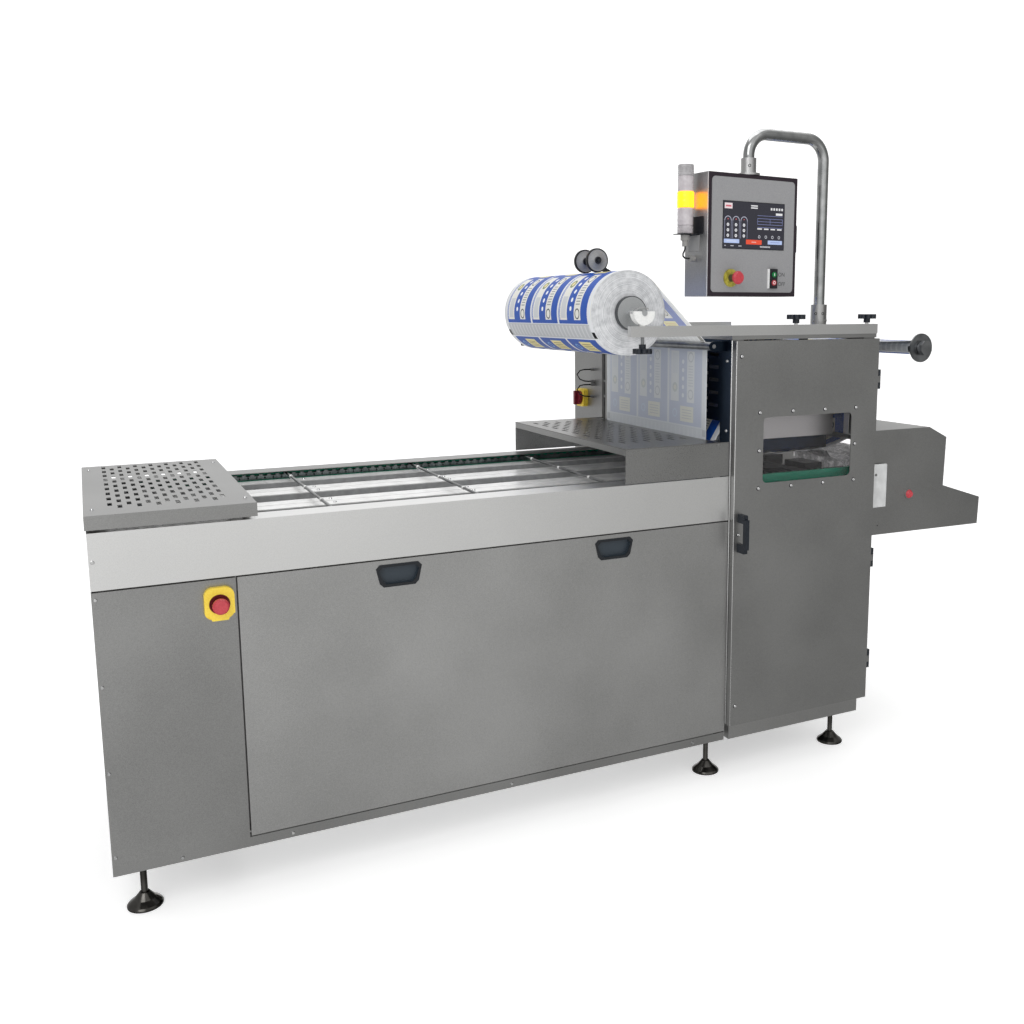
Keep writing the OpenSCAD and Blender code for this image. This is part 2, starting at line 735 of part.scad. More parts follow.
// Tower frame: flat posts, ring tubes, lift rails and plinth
post_t = 16;
post_y = 3;
module tower_frame() color("#85888a") {
  mirrored() {
    for (x = [tower_x0 + post_y, tower_x1 - post_y - tube])
      tube_span([x, post_y, door_z0], [x + tube, post_y + post_t, cap_z0]);
    for (z = [door_z0, lift_z - tube])
      tube_span([tower_x0 + post_y + tube, post_y, z], [tower_x1 - post_y - tube, post_y + post_t, z + tube]);
  }
  for (x = [tool_x0, tool_x1 - tube])
    tube_span([x, post_y + post_t, lift_z - tube], [x + tube, depth - post_y - post_t, lift_z]);
  tube_span([tower_x0 + post_y, post_y + post_t, cap_z0 - tube], [tower_x0 + post_y + tube,
      depth - post_y - post_t, cap_z0]);
  difference() {
    span([tower_x0 + pan_d, post_y + post_t / 2, tower_z0], [tower_x1 - post_t / 2,
        depth - post_y - post_t / 2, door_z0]);
    span([tower_x0 + pan_d + tube, post_y + post_t / 2 + tube, tower_z0 - cut],
      [tower_x1 - post_t / 2 - tube, depth - post_y - post_t / 2 - tube, door_z0 + cut]);
  }
}

// Tower skins: slotted infeed plates, outfeed and rear sheets, guard hinge lugs
skin_w = 178;
skin_low_w = 56;
skin_rise = 160;
skin_step_z = deck_z + skin_rise;
vent_w = 52;
vent_h = 10;
vent_pitch = 38;
vent_rows = 5;
vent_y = 70;
vent_drop = 50;
vent_z = cap_z0 - vent_drop;
slot_z = rewind_z + waste_r;
module tower_skins() color("#77797a") {
  mirrored()
    difference() {
      union() {
        span([tower_x0, sheet + seat_gap, skin_step_z], [tower_x0 + sheet, sheet + skin_w, cap_z0]);
        span([tower_x0, sheet + seat_gap, deck_z + sheet], [tower_x0 + sheet, sheet + skin_low_w,
            skin_step_z + cut]);
      }
      for (i = [0 : vent_rows - 1], c = [0, 1])
        translate([tower_x0 - cut, vent_y + c * (vent_w + sheet), vent_z - (i + c / 2) * vent_pitch])
          cube([sheet + 2 * cut, vent_w, vent_h]);
    }
  difference() {
    span([tower_x1 - sheet, sheet, door_z0], [tower_x1, depth - sheet - seat_gap, cap_z0]);
    span([tower_x1 - sheet - cut, frame_in + lip_t, beam_z1 - 2 * tube], [tower_x1 + cut,
        depth - frame_in - lip_t, deck_z + hood_rise - pan_d]);
    span([tower_x1 - sheet - cut, mid_y - film_w / 2 - pan_d / 2, slot_z - pan_d / 2],
      [tower_x1 + cut, mid_y + film_w / 2 + pan_d / 2, slot_z + pan_d / 2]);
  }
  span([tower_x0, depth - sheet, door_z0], [tower_x1, depth, cap_z0]);
  mirrored()
    difference() {
      span([guard_pin_x - 3 * guard_pin_r, post_y - sheet, deck_z], [guard_pin_x + 3 * guard_pin_r,
          post_y + sheet, guard_z1 - sheet - cut]);
      rod_y(guard_pin_x, guard_pin_z, -cut, post_y + sheet + cut, guard_pin_r);
    }
  mirrored()
    rod_y(guard_pin_x, guard_pin_z, -cover_over - sheet, post_y + sheet, guard_pin_r);
}

// Tower top plate with the mast socket and its set screws
cap_over = 3;
mast_x = tower_x1 - mast_in;
socket_r = 25;
socket_h = 90;
socket_flange_r = 40;
socket_flange_h = 8;
module tower_top_plate() color("#9b9d9b") {
  difference() {
    span([tower_x0 - cap_over, -cap_over, cap_z0], [tower_x1 + cap_over, depth + cap_over, cap_z1]);
    span([tower_x0 - cap_over + sheet, -cap_over + sheet, cap_z0 - cut],
      [tower_x1 + cap_over - sheet, depth + cap_over - sheet, cap_z1 - sheet]);
  }
  mirrored()
    span([tower_x0, post_y, cap_z0], [tower_x1, post_y + post_t, cap_z1 - sheet]);
  translate([mast_x, mast_y, cap_z1]) {
    difference() {
      union() {
        cylinder(r = socket_flange_r, h = socket_flange_h);
        cylinder(r = socket_r, h = socket_h);
      }
      translate([0, 0, sheet]) cylinder(r = mast_r + run_gap, h = socket_h);
    }
    for (a = [-70, -120, -170])
      rotate(a) translate([socket_r - sheet, 0, socket_h * 0.45]) rotate([0, 90, 0])
        cylinder(r = stud_r * 0.8, h = stud_r, $fn = 24);
  }
}

// Electrical cabinet behind the tower, on two standoff rails
cab_z0 = 420;
cab_drop = 14;
cab_z1 = door_z1 - cab_drop;
cab_x1 = tower_x1;
module electrical_cabinet() color("#8a8b88") {
  difference() {
    span([tower_x0, cab_y0, cab_z0], [cab_x1, cab_y1, cab_z1]);
    span([tower_x0 + sheet, cab_y0 + sheet, cab_z0 + sheet], [cab_x1 - sheet, cab_y1 + cut, cab_z1 - sheet]);
    rod_x(switch_y, switch_z, tower_x0 - cut, tower_x0 + sheet + cut, switch_shaft_r + run_gap);
  }
  for (z = [cab_z0 + tube, cab_z1 - 2 * tube])
    span([tower_x0 + tube, depth, z], [cab_x1 - tube, cab_y0, z + tube]);
  for (z = lead_zs)
    rod_x(lead_y, z, tower_x0 - terminal_l, tower_x0, terminal_r);
}
module cabinet_door() color("#8f908d") {
  difference() {
    union() {
      span([tower_x0, cab_y1 + seat_gap, cab_z0], [cab_x1 - hinge_r, cab_y1 + sheet, cab_z1]);
      translate([cab_x1, cab_y1 + hinge_r + seat_gap, cab_z0 + tube]) cylinder(r = hinge_r,
          h = cab_z1 - cab_z0 - 2 * tube);
      span([cab_x1 - hinge_r - cut, cab_y1 + seat_gap, cab_z0 + tube], [cab_x1, cab_y1 + sheet,
          cab_z1 - tube]);
    }
    translate([cab_x1, cab_y1 + hinge_r + seat_gap, cab_z0]) cylinder(r = cab_pin_r + run_gap,
        h = cab_z1 - cab_z0);
  }
  span([tower_x0 + tube, cab_y1 + sheet - cut / 2, (cab_z0 + cab_z1) / 2 - tube],
    [tower_x0 + tube + latch_h, cab_y1 + sheet + latch_h, (cab_z0 + cab_z1) / 2 + tube]);
}
hinge_r = 7;
cab_pin_r = 3;

// Yellow shrouds: main switch plate on the cabinet, ring of the base emergency stop
switch_y = cab_y0 + cab_d * 0.66;
switch_rise = 163;
switch_z = deck_z + switch_rise;
switch_w = 66;
switch_t = 18;
switch_shaft_r = 5;
shroud_w = 68;
shroud_h = 80;
shroud_t = 14;
shroud_hole_r = 24;
module switch_shrouds() color("#e6cf3a") {
  translate([tower_x0, switch_y, switch_z]) rotate([0, -90, 0])
    difference() {
      linear_extrude(switch_t) round_rect(switch_w, switch_w, switch_w * 0.18);
      translate([0, 0, -cut]) cylinder(r = switch_shaft_r + run_gap, h = switch_t + 2 * cut);
    }
  translate([estop_x, 0, estop_z]) rotate([90, 0, 0])
    difference() {
      linear_extrude(shroud_t) round_rect(shroud_w, shroud_h, shroud_w * 0.3);
      translate([0, 0, sheet]) cylinder(r = shroud_hole_r, h = shroud_t);
      translate([0, 0, -cut]) cylinder(r = estop_stem_r + run_gap, h = shroud_t);
      for (sx = [-1, 1])
        translate([sx * shroud_w / 2, -shroud_h / 2, sheet]) cylinder(r = shroud_w * 0.22, h = shroud_t,
            $fn = 24);
    }
}
switch_knob_r = 26;
switch_knob_t = 12;
module main_switch_handle() color("#7a1f30")
  translate([tower_x0 - switch_t - seat_gap, switch_y, switch_z]) rotate([0, -90, 0]) {
    cylinder(r = switch_knob_r, h = switch_knob_t);
    translate([-switch_knob_r, -switch_knob_r * 0.25, switch_knob_t - cut])
      cube([2 * switch_knob_r, switch_knob_r * 0.5, switch_knob_t + cut]);
    translate([0, 0, -switch_t]) cylinder(r = switch_shaft_r, h = switch_t + cut);
  }

// Sensor leads: two short loops between terminals on the cabinet, and the conduit clipped beside them
lead_r = 2.5;
lead_in = 62;
lead_rise = 173;
lead_y = cab_y0 + lead_in;
lead_h = 44;
lead_pitch = 56;
lead_zs = [for (i = [0, 1], s = [0, 1]) deck_z + lead_rise + i * lead_pitch + s * lead_h];
terminal_l = 16;
terminal_r = 5.5;
lead_route = [[-16, 0, 0], [-25, 0, 0], [-36, 14, 1], [-40, 40, 6], [-41, 62, 22], [-40, 40, 38], [-36, 14,
    43],
  [-25, 0, 44], [-16, 0, 44]];
module sensor_leads() color("#17191c") {
  for (i = [0, 1])
    translate([tower_x0, lead_y, lead_zs[2 * i]]) swept_tube(lead_route, lead_r, lead_sides);
  translate([tower_x0 + 2 * conduit_r, depth + cab_gap / 2, deck_z])
    cylinder(r = conduit_r, h = cab_z1 - deck_z);
  for (i = [0, 2])
    span([tower_x0 + conduit_r, depth + cab_gap / 2, lead_zs[i]], [tower_x0 + 3 * conduit_r,
        cab_y0, lead_zs[i] + conduit_r]);
}
lead_sides = 8;
conduit_r = 8;

// A round tube swept along hand-picked points, square to its path, ends closed
function unit(v) = v / norm(v);
function path_dir(p, i) = unit(p[min(i + 1, len(p) - 1)] - p[max(i - 1, 0)]);
function side_dir(d, up) = unit(cross(d, up));
module swept_tube(p, r, sides, up = [0.13, 0.31, 0.94]) {
  n = len(p);
  rings = [for (i = [0 : n - 1]) let(d = path_dir(p, i), s = side_dir(d, up), t = cross(s, d))
    for (k = [0 : sides - 1]) p[i] + r * (cos(360 * k / sides) * s + sin(360 * k / sides) * t)];
  walls = [for (i = [0 : n - 2], k = [0 : sides - 1]) let(a = i * sides + k, b = i * sides + (k + 1) % sides)
    each [[a, b, b + sides], [a, b + sides, a + sides]]];
  first = [for (k = [1 : sides - 2]) [0, k + 1, k]];
  last = [for (k = [1 : sides - 2]) [(n - 1) * sides, (n - 1) * sides + k, (n - 1) * sides + k + 1]];
  polyhedron(rings, concat(walls, first, last));
}

// Upper tool: heated head, dark seal frame and its hangers
head_rise = 95;
head_drop = 60;
seal_rise = 53;
head_z0 = deck_z + head_rise;
head_z1 = cap_z0 - head_drop;
seal_z0 = deck_z + seal_rise;
hanger_r = 15;
tool_y0 = 84;
module upper_tool() color("#a9acae") {
  housing([tool_x0, tool_y0 - pan_d, head_z0], [tool_x1 + sheet * 4, depth - tool_y0 + pan_d, head_z1]);
  difference() {
    span([tool_x0, tool_y0, seal_z0], [tool_x1, depth - tool_y0, head_z0]);
    for (i = [0 : 2])
      span([pocket_x0, lane_y(i) - pocket_w / 2, seal_z0 - cut], [pocket_x1, lane_y(i) + pocket_w / 2,
          seal_z0 + pan_d]);
  }
  for (sx = [-1, 1], sy = [-1, 1])
    translate([tool_cx + sx * column_dx, mid_y + sy * lane_pitch, head_z1])
      cylinder(r = hanger_r, h = cap_z1 - sheet - head_z1);
}

// Lower tool: lifting block with a pocket for each lane, sleeves and piston rod
pocket_w = 150;
pocket_l = 250;
pocket_d = 45;
pocket_x0 = tool_cx - pocket_l / 2;
pocket_x1 = tool_cx + pocket_l / 2;
module lower_tool() color("#5a6066") {
  difference() {
    union() {
      span([tool_x0, tool_y0, tool_z0], [tool_x1, depth - tool_y0, tool_z1]);
      for (sx = [-1, 1], sy = [-1, 1])
        translate([tool_cx + sx * column_dx, mid_y + sy * column_dy, tool_z0 - sleeve_h])
          cylinder(r = sleeve_r, h = sleeve_h + cut);
    }
    for (i = [0 : 2])
      translate([tool_cx, lane_y(i), tool_z1 - pocket_d]) linear_extrude(pocket_d + cut)
        round_rect(pocket_l, pocket_w, pan_d);
    for (sx = [-1, 1], sy = [-1, 1])
      translate([tool_cx + sx * column_dx, mid_y + sy * column_dy, tool_z0 - sleeve_h - cut])
        cylinder(r = column_r + run_gap, h = sleeve_h + tool_block_h - sleeve_cap);
  }
  translate([tool_cx, mid_y, lift_z + lift_plate_t + lift_base_gap]) cylinder(r = piston_r,
      h = tool_z0 - lift_z - lift_plate_t - lift_base_gap + cut);
}
lift_base_gap = 45;
sleeve_cap = 8;

// Tower door: folded pan with a window opening and its screws
door_x0 = tower_x0;
door_x1 = tower_x1;
win_x0 = door_x0 + window_x;
win_z0 = deck_z + window_drop;
win_cx = win_x0 + window_w / 2;
win_cz = win_z0 + window_h / 2;
screw_margin = 15;
module tower_door() color("#737472") {
  difference() {
    span([door_x0, door_y, door_z0], [door_x1, -cut, door_z1]);
    span([door_x0 + sheet, door_y + sheet, door_z0 + sheet], [door_x1 - sheet, 0, door_z1 - sheet]);
    translate([win_cx, door_y + sheet + cut, win_cz]) rotate([90, 0, 0])
      linear_extrude(sheet + 2 * cut) round_rect(window_w, window_h, window_r);
  }
  for (i = [0 : 3], s = [-1, 1])
    front_screw(win_x0 - screw_margin + i * (window_w + 2 * screw_margin) / 3, door_y,
        win_cz + s * (window_h / 2 + screw_margin));
  for (s = [-1, 1])
    front_screw(win_cx + s * (window_w / 2 + screw_margin), door_y, win_cz);
  for (s = door_screw_shares)
    front_screw(door_x0 + door_screw_in, door_y, door_z0 + s * (door_z1 - door_z0));
  for (z = hinge_zs)
    difference() {
      union() {
        span([door_x1 - cut, door_y + sheet, z - hinge_leaf / 2], [hinge_x, hinge_y - hinge_r / 2,
            z + hinge_leaf / 2]);
        translate([hinge_x, hinge_y, z - hinge_leaf / 2]) cylinder(r = hinge_r, h = hinge_leaf);
      }
      translate([hinge_x, hinge_y, z - hinge_leaf]) cylinder(r = hinge_pin_r + run_gap, h = 2 * hinge_leaf);
    }
}
door_screw_in = 19;
door_screw_shares = [0.054, 0.51, 0.962];
hinge_out = 9;
hinge_x = tower_x1 + hinge_out;
hinge_y = door_y + hinge_out;
hinge_pin_r = 4;
hinge_leaf = 20;
hinge_shares = [0.11, 0.4, 0.891];
hinge_zs = [for (s = hinge_shares) door_z0 + s * (door_z1 - door_z0)];

// Clear pane behind the door's window opening
pane_t = 6;
pane_lap = 24;
module door_window() color("#cfd8de", 0.35)
  span([win_x0 - pane_lap, door_y + sheet, win_z0 - pane_lap],
    [win_x0 + window_w + pane_lap, door_y + sheet + pane_t, win_z0 + window_h + pane_lap]);

// Bridge handle of the door
handle_in = 22;
handle_x = door_x0 + handle_in;
handle_z = 780;
handle_w = 14;
module bridge_handle(len, reach, w) {
  slim = w * 0.9;
  span([-w / 2, -reach, -len / 2 + slim], [w / 2, -reach + slim, len / 2 - slim]);
  for (s = [-1, 1])
    span([-w / 2, -reach + slim * 0.6, s * (len / 2 - slim) - slim], [w / 2, 0, s * (len / 2 - slim) + slim]);
}
module door_handle() color("#1d2026")
  translate([handle_x, door_y, handle_z]) bridge_handle(handle_h, handle_reach, handle_w);

// Fixed halves of the door and cabinet hinges, with their pins
module door_hinges() color("#23262b") {
  for (z = hinge_zs) {
    translate([hinge_x, hinge_y, z - hinge_leaf * 1.25]) cylinder(r = hinge_pin_r, h = hinge_leaf * 2.5);
    for (s = [-1, 1]) {
      zc = z + s * (hinge_leaf + seat_gap);
      translate([hinge_x, hinge_y, zc - hinge_leaf / 2]) cylinder(r = hinge_r, h = hinge_leaf);
      span([hinge_x - hinge_r / 2, hinge_y, zc - hinge_leaf / 2], [hinge_x + hinge_r / 2,
          sheet + pan_d / 2, zc + hinge_leaf / 2]);
      span([tower_x1, sheet, zc - hinge_leaf / 2], [hinge_x + hinge_r / 2, sheet + pan_d,
          zc + hinge_leaf / 2]);
    }
  }
  translate([cab_x1, cab_y1 + hinge_r + seat_gap, cab_z0]) cylinder(r = cab_pin_r, h = cab_z1 - cab_z0);
  for (z = [cab_z0, cab_z1 - tube + seat_gap]) {
    translate([cab_x1, cab_y1 + hinge_r + seat_gap, z]) cylinder(r = hinge_r, h = tube - seat_gap);
    span([cab_x1, cab_y1 - pan_d, z], [cab_x1 + hinge_r, cab_y1 + hinge_r, z + tube - seat_gap]);
  }
}

// Arm bars that carry the film roll, with the cap screws and knob studs
knob_shares = [0.423, 0.9332];
knob_xs = [for (s = knob_shares) tower_x0 + s * tower_w];
module arm_bars() color("#a5a6a3") {
  for (y = [bar_y, depth - bar_y])
    difference() {
      span([bar_x0, y - bar_w / 2, cap_z1], [tower_x1, y + bar_w / 2, bar_z1]);
      translate([roll_x, y, cap_z1 - cut]) cylinder(r = stud_r + seat_gap, h = bar_h + 2 * cut);
    }
  for (x = knob_xs)
    translate([x, bar_y, bar_z1]) cylinder(r = stud_r, h = knob_hub_h + knob_lift);
}
knob_lift = 4;

// Half-round plastic cradles on threaded stems at the bar ends
cradle_r = 33;
cradle_t = 24;
journal_r = 8;
module one_cradle() {
  difference() {
    translate([roll_x, bar_y + cradle_t / 2, roll_z]) rotate([90, 0, 0]) cylinder(r = cradle_r, h = cradle_t);
    span([roll_x - 2 * cradle_r, bar_y - cradle_t, roll_z + stud_r], [roll_x + 2 * cradle_r,
        bar_y + cradle_t, roll_z + 2 * cradle_r]);
    rod_y(roll_x, roll_z, bar_y - cradle_t, bar_y + cradle_t, journal_r + run_gap);
    span([roll_x - journal_r - run_gap, bar_y - cradle_t, roll_z], [roll_x + journal_r + run_gap,
        bar_y + cradle_t, roll_z + cradle_r]);
  }
  translate([roll_x, bar_y, stem_z0]) cylinder(r = stud_r, h = roll_z - cradle_r + sheet - stem_z0);
  translate([roll_x, bar_y, bar_z1]) cylinder(r = stud_r * 1.8, h = roll_z - cradle_r - bar_z1 + cut);
}
module roll_cradles() color("#e8e9e6") mirrored() one_cradle();

module cradle_knob() {
  translate([roll_x, bar_y, cap_z1 - knob_gap]) rotate([180, 0, 0]) star_knob(stud_r);
}
knob_gap = 20;
stem_z0 = cap_z1 - knob_gap - knob_hub_h - knob_flange_h / 2 + cut;
module cradle_knob_front() color("#1b1f27") cradle_knob();
module cradle_knob_rear() color("#1b1f27") translate([0, depth, 0]) mirror([0, 1, 0]) cradle_knob();
module bar_knob_left() color("#1b1f27") translate([knob_xs[0], bar_y, bar_z1 + knob_lift]) star_knob(stud_r);
module bar_knob_right() color("#1b1f27") translate([knob_xs[1], bar_y, bar_z1 + knob_lift]) star_knob(stud_r);

// Film roll and the mandrel with its core flanges
film_y0 = mid_y - film_w / 2;
film_y1 = mid_y + film_w / 2;
module film_roll() color("#e9ebee")
  difference() {
    rod_y(roll_x, roll_z, film_y0, film_y1, roll_r, $fn = 96);
    rod_y(roll_x, roll_z, film_y0 - cut, film_y1 + cut, core_r);
  }
disc_t = 14;
disc_gap = 6;
shaft_body_r = 12;
module roll_mandrel() color("#8e9194") {
  rod_y(roll_x, roll_z, bar_y - cradle_t / 2 - sheet, depth - bar_y + cradle_t / 2 + sheet, journal_r);
  rod_y(roll_x, roll_z, bar_y + cradle_t / 2 + sheet, depth - bar_y - cradle_t / 2 - sheet, shaft_body_r);
  mirrored() {
    rod_y(roll_x, roll_z, film_y0 - disc_gap - disc_t, film_y0 - disc_gap, disc_r);
    rod_y(roll_x, roll_z, film_y0 - disc_gap - cut, film_y0 + tube, core_r - seat_gap);
  }
}

// Film web: from the roll over and under the idlers, through the tools, to the rewinder
film_t = 0.8;
film_gap = seat_gap + film_t / 2;
low_z = deck_z + idler_low;
bar_turn_r = 8;
entry_rise = 148;
rise_in = 33;
rise_h = 82;
exit_in = 15;
web_drop = 3;
web_lead = 20;
web_near = 6;
web_rise = 12;
entry_x = tower_x0 + guard_stop;
entry_z = deck_z + entry_rise;
rise_x = tower_x1 - rise_in;
rise_z = deck_z + rise_h;
exit_x = tower_x1 - exit_in;
exit_z = slot_z - bar_turn_r - film_gap;
seal_z = seal_z0 - web_drop;
// Points of an arc in X and Z, angles from +X towards +Z
function arc(x, z, r, a0, a1, n) = [for (i = [0 : n]) let(a = a0 + (a1 - a0) * i / n) [x + r * cos(a),
    z + r * sin(a)]];
// Angle of the common outer tangent from the roll to the upper idler
drop_a = atan2(roll_z - idler_z, idler_x - roll_x);
drop_len = norm([idler_x - roll_x, roll_z - idler_z]);
roll_wrap = roll_r + film_gap;
roller_wrap = idler_r + film_gap;
turn_wrap = bar_turn_r + film_gap;
tangent_a = 90 - drop_a - asin((roll_wrap - roller_wrap) / drop_len);
// Angle of the climb from the lower idler to the entry bar, on crossed sides
low_web_x = idler_x + 2 * roller_wrap;
climb_len = norm([entry_x - low_web_x, entry_z - low_z]);
climb_a = atan2(entry_z - low_z, entry_x - low_web_x) + asin((roller_wrap + turn_wrap) / climb_len);
function film_path() = concat(
  arc(roll_x, roll_z, roll_wrap, tangent_a + 6, tangent_a, 2),
  arc(idler_x, idler_z, roller_wrap, tangent_a, 0, 6),
  arc(low_web_x, low_z, roller_wrap, 180, 270 + climb_a, 8),
  arc(entry_x, entry_z, turn_wrap, 90 + climb_a, 0, 8),
  [[tool_x0 - web_lead, seal_z + web_rise], [tool_x0 - web_near, seal_z], [tool_cx, seal_z - sag],
      [tool_x1, seal_z - sag / 2]],
  arc(rise_x, rise_z, turn_wrap, 290, 360, 4),
  arc(exit_x, exit_z, turn_wrap, 180, 90, 5),
  [[rewind_x, slot_z + film_gap]]);
sag = 8;
function normal_at(p, i) = let(d = unit(p[min(i + 1, len(p) - 1)] - p[max(i - 1, 0)])) [-d[1], d[0]];
module film_web() color("#dfe3e8") {
  p = film_path();
  n = len(p);
  left = [for (i = [0 : n - 1]) p[i] + normal_at(p, i) * film_t / 2];
  right = [for (i = [n - 1 : -1 : 0]) p[i] - normal_at(p, i) * film_t / 2];
  slab(concat(left, right), film_y0, film_y1);
}

// Idler rollers on their journals
journal_l = 6;
idler_gap = seat_gap;
module idler(x, z, y0) {
  rod_y(x, z, y0 + idler_gap, depth - y0 - idler_gap, idler_r);
  rod_y(x, z, y0 - journal_l + idler_gap, depth - y0 + journal_l - idler_gap, journal_l);
}
idler_y0 = 30;
low_y0 = sheet + skin_low_w;
module idler_upper() color("#6f7377") idler(idler_x, idler_z, idler_y0);
module idler_lower() color("#6f7377") idler(low_web_x, low_z, low_y0);

// Film brackets: idler side plates, turning bars, wheel arm post, rewinder mount
bracket_t = 4;
arm_y0 = depth - bar_w / 2;
rewind_y = depth - sheet;
module film_brackets() color("#6a6d70") {
  mirrored() {
    difference() {
      union() {
        rod_y(idler_x, idler_z, idler_y0 - bracket_t, idler_y0, idler_r * 1.2);
        span([idler_x, idler_y0 - bracket_t, idler_z - idler_r * 1.2], [tower_x0, idler_y0,
            idler_z + idler_r * 1.2]);
      }
      rod_y(idler_x, idler_z, idler_y0 - bracket_t - cut, idler_y0 + cut, journal_l + run_gap);
    }
    difference() {
      span([low_web_x - idler_r, low_y0 - bracket_t, low_z - idler_r * 1.2], [tower_x0, low_y0,
          low_z + idler_r * 1.2]);
      rod_y(low_web_x, low_z, low_y0 - bracket_t - cut, low_y0 + cut, journal_l + run_gap);
    }
    for (x = [entry_x, rise_x, exit_x]) {
      z = x == entry_x ? entry_z : (x == rise_x ? rise_z : exit_z);
      span([x - bar_turn_r, post_y + post_t, z - bar_turn_r], [x + bar_turn_r, post_y + post_t + bracket_t,
          z + bar_turn_r]);
    }
  }
  rod_y(entry_x, entry_z, post_y + post_t, depth - post_y - post_t, bar_turn_r);
  rod_y(rise_x, rise_z, post_y + post_t, depth - post_y - post_t, bar_turn_r);
  rod_y(exit_x, exit_z, post_y + post_t, depth - post_y - post_t, bar_turn_r);
  span([arm_x - arm_post_w / 2, arm_y0, bar_z1], [arm_x + arm_post_w / 2, arm_y0 + pivot_r,
      arm_z + arm_post_w / 2]);
  rod_y(arm_x, arm_z, wheel_y - arm_t, arm_y0 + cut, pivot_r);
  difference() {
    span([tower_x1, rewind_y, rewind_z - rewind_plate_h / 2], [rewind_x + rewind_plate_h / 2,
        rewind_y + pivot_r, rewind_z + rewind_plate_h / 2]);
    rod_y(rewind_x, rewind_z, rewind_y - cut, rewind_y + 2 * pivot_r, spindle_r + run_gap);
  }
  translate([rewind_x, rewind_y + pivot_r, rewind_z]) rotate([-90, 0, 0]) difference() {
    cylinder(r = rewind_motor_r, h = rewind_motor_l);
    translate([0, 0, -cut]) cylinder(r = spindle_r + run_gap, h = tube);
  }
}
rewind_plate_h = 80;
rewind_motor_r = 35;
rewind_motor_l = 120;
spindle_r = 11;

// Measuring arm and its pair of wheels riding on the roll
arm_reach = 94;
arm_drop = 15;
arm_x = roll_x + arm_reach;
arm_z = roll_z + roll_r - arm_drop;
arm_post_w = 30;
arm_t = 8;
arm_hub_r = 12;
pivot_r = 6;
axle_r = 4;
wheel_off = 83;
wheel_y = mid_y - wheel_off;
wheel_gap = 80;
wheel_t = 10;
wheel_z = roll_z + roll_r + wheel_r + seat_gap;
module measuring_arm() color("#24272c") {
  difference() {
    union() {
      rod_y(arm_x, arm_z, wheel_y - arm_t / 2 + sheet, wheel_y + arm_t / 2 + sheet + arm_t, arm_hub_r);
      translate([roll_x, wheel_y + arm_t / 2 + sheet, wheel_z]) rotate([90, 0, 0]) linear_extrude(arm_t)
          polygon(arm_outline);
      rod_y(roll_x, wheel_z, wheel_y - arm_t / 2 + sheet, wheel_y + arm_t / 2 + sheet, arm_hub_r * 0.8);
    }
    rod_y(arm_x, arm_z, wheel_y - tube, wheel_y + tube, pivot_r + run_gap);
  }
  rod_y(roll_x, wheel_z, wheel_y - wheel_gap / 2 - wheel_t - sheet,
      wheel_y + wheel_gap / 2 + wheel_t + sheet, axle_r);
}
arm_dx = arm_x - roll_x;
arm_dz = arm_z - wheel_z;
arm_outline = [[0, -arm_t], [arm_dx, arm_dz - arm_t], [arm_dx + arm_t, arm_dz], [arm_dx, arm_dz + arm_t],
    [0, arm_t], [-arm_t, 0]];
module measuring_wheels() color("#8b8f92")
  for (s = [-1, 1])
    difference() {
      union() {
        rod_y(roll_x, wheel_z, wheel_y + s * wheel_gap / 2 - wheel_t / 2,
            wheel_y + s * wheel_gap / 2 + wheel_t / 2, wheel_r);
        rod_y(roll_x, wheel_z, wheel_y + s * wheel_gap / 2 - wheel_t,
            wheel_y + s * wheel_gap / 2 + wheel_t, arm_hub_r);
      }
      rod_y(roll_x, wheel_z, wheel_y - wheel_gap, wheel_y + wheel_gap, axle_r + run_gap);
    }

// Waste rewinder: driven spindle, end disc, clamp knob and wound film
spindle_out = 18;
spindle_y0 = film_y0 - spindle_out;
disc_plate_t = 5;
octagon_h = 22;
octagon_r = 25;
module rewinder_spindle() color("#7c8084") {
  rod_y(rewind_x, rewind_z, spindle_y0 - disc_plate_t, rewind_y + pivot_r + tube - sheet, spindle_r);
  rod_y(rewind_x, rewind_z, spindle_y0, spindle_y0 + disc_plate_t, rewind_disc_r);
  translate([rewind_x, spindle_y0 - sheet, rewind_z]) rotate([90, 0, 0]) {
    cylinder(r = octagon_r * 0.85, h = octagon_h * 0.4);
    translate([0, 0, octagon_h * 0.4]) rotate(22.5) cylinder(r = octagon_r, h = octagon_h * 0.6, $fn = 8);
  }
}
module waste_roll() color("#e2e6ec")
  difference() {
    rod_y(rewind_x, rewind_z, spindle_y0 + disc_plate_t + sheet, film_y1 + sheet, waste_r);
    rod_y(rewind_x, rewind_z, spindle_y0, film_y1 + 2 * sheet, spindle_r + run_gap);
  }

// Outfeed hood over the chute
hood_x1 = tower_x1 + hood_len;
hood_z1 = deck_z + hood_rise;
hood_bevel_x = hood_len * 0.235;
hood_bevel_z = hood_rise * 0.357;
hood_drop = 110;
hood_lean = 6;
hood_z0 = deck_z - hood_drop;
module outfeed_hood() color("#6c6d6b") {
  outline = [[tower_x1, hood_z0], [hood_x1 - hood_lean, hood_z0], [hood_x1, hood_z1 - hood_bevel_z],
      [hood_x1 - hood_bevel_x, hood_z1], [tower_x1, hood_z1]];
  mirrored() slab(outline, 0, sheet);
  slab([outline[2], outline[3], outline[4], [tower_x1, hood_z1 - sheet],
      [hood_x1 - hood_bevel_x - sheet / 2, hood_z1 - sheet],
    [hood_x1 - sheet, hood_z1 - hood_bevel_z - sheet]], 0, depth);
}

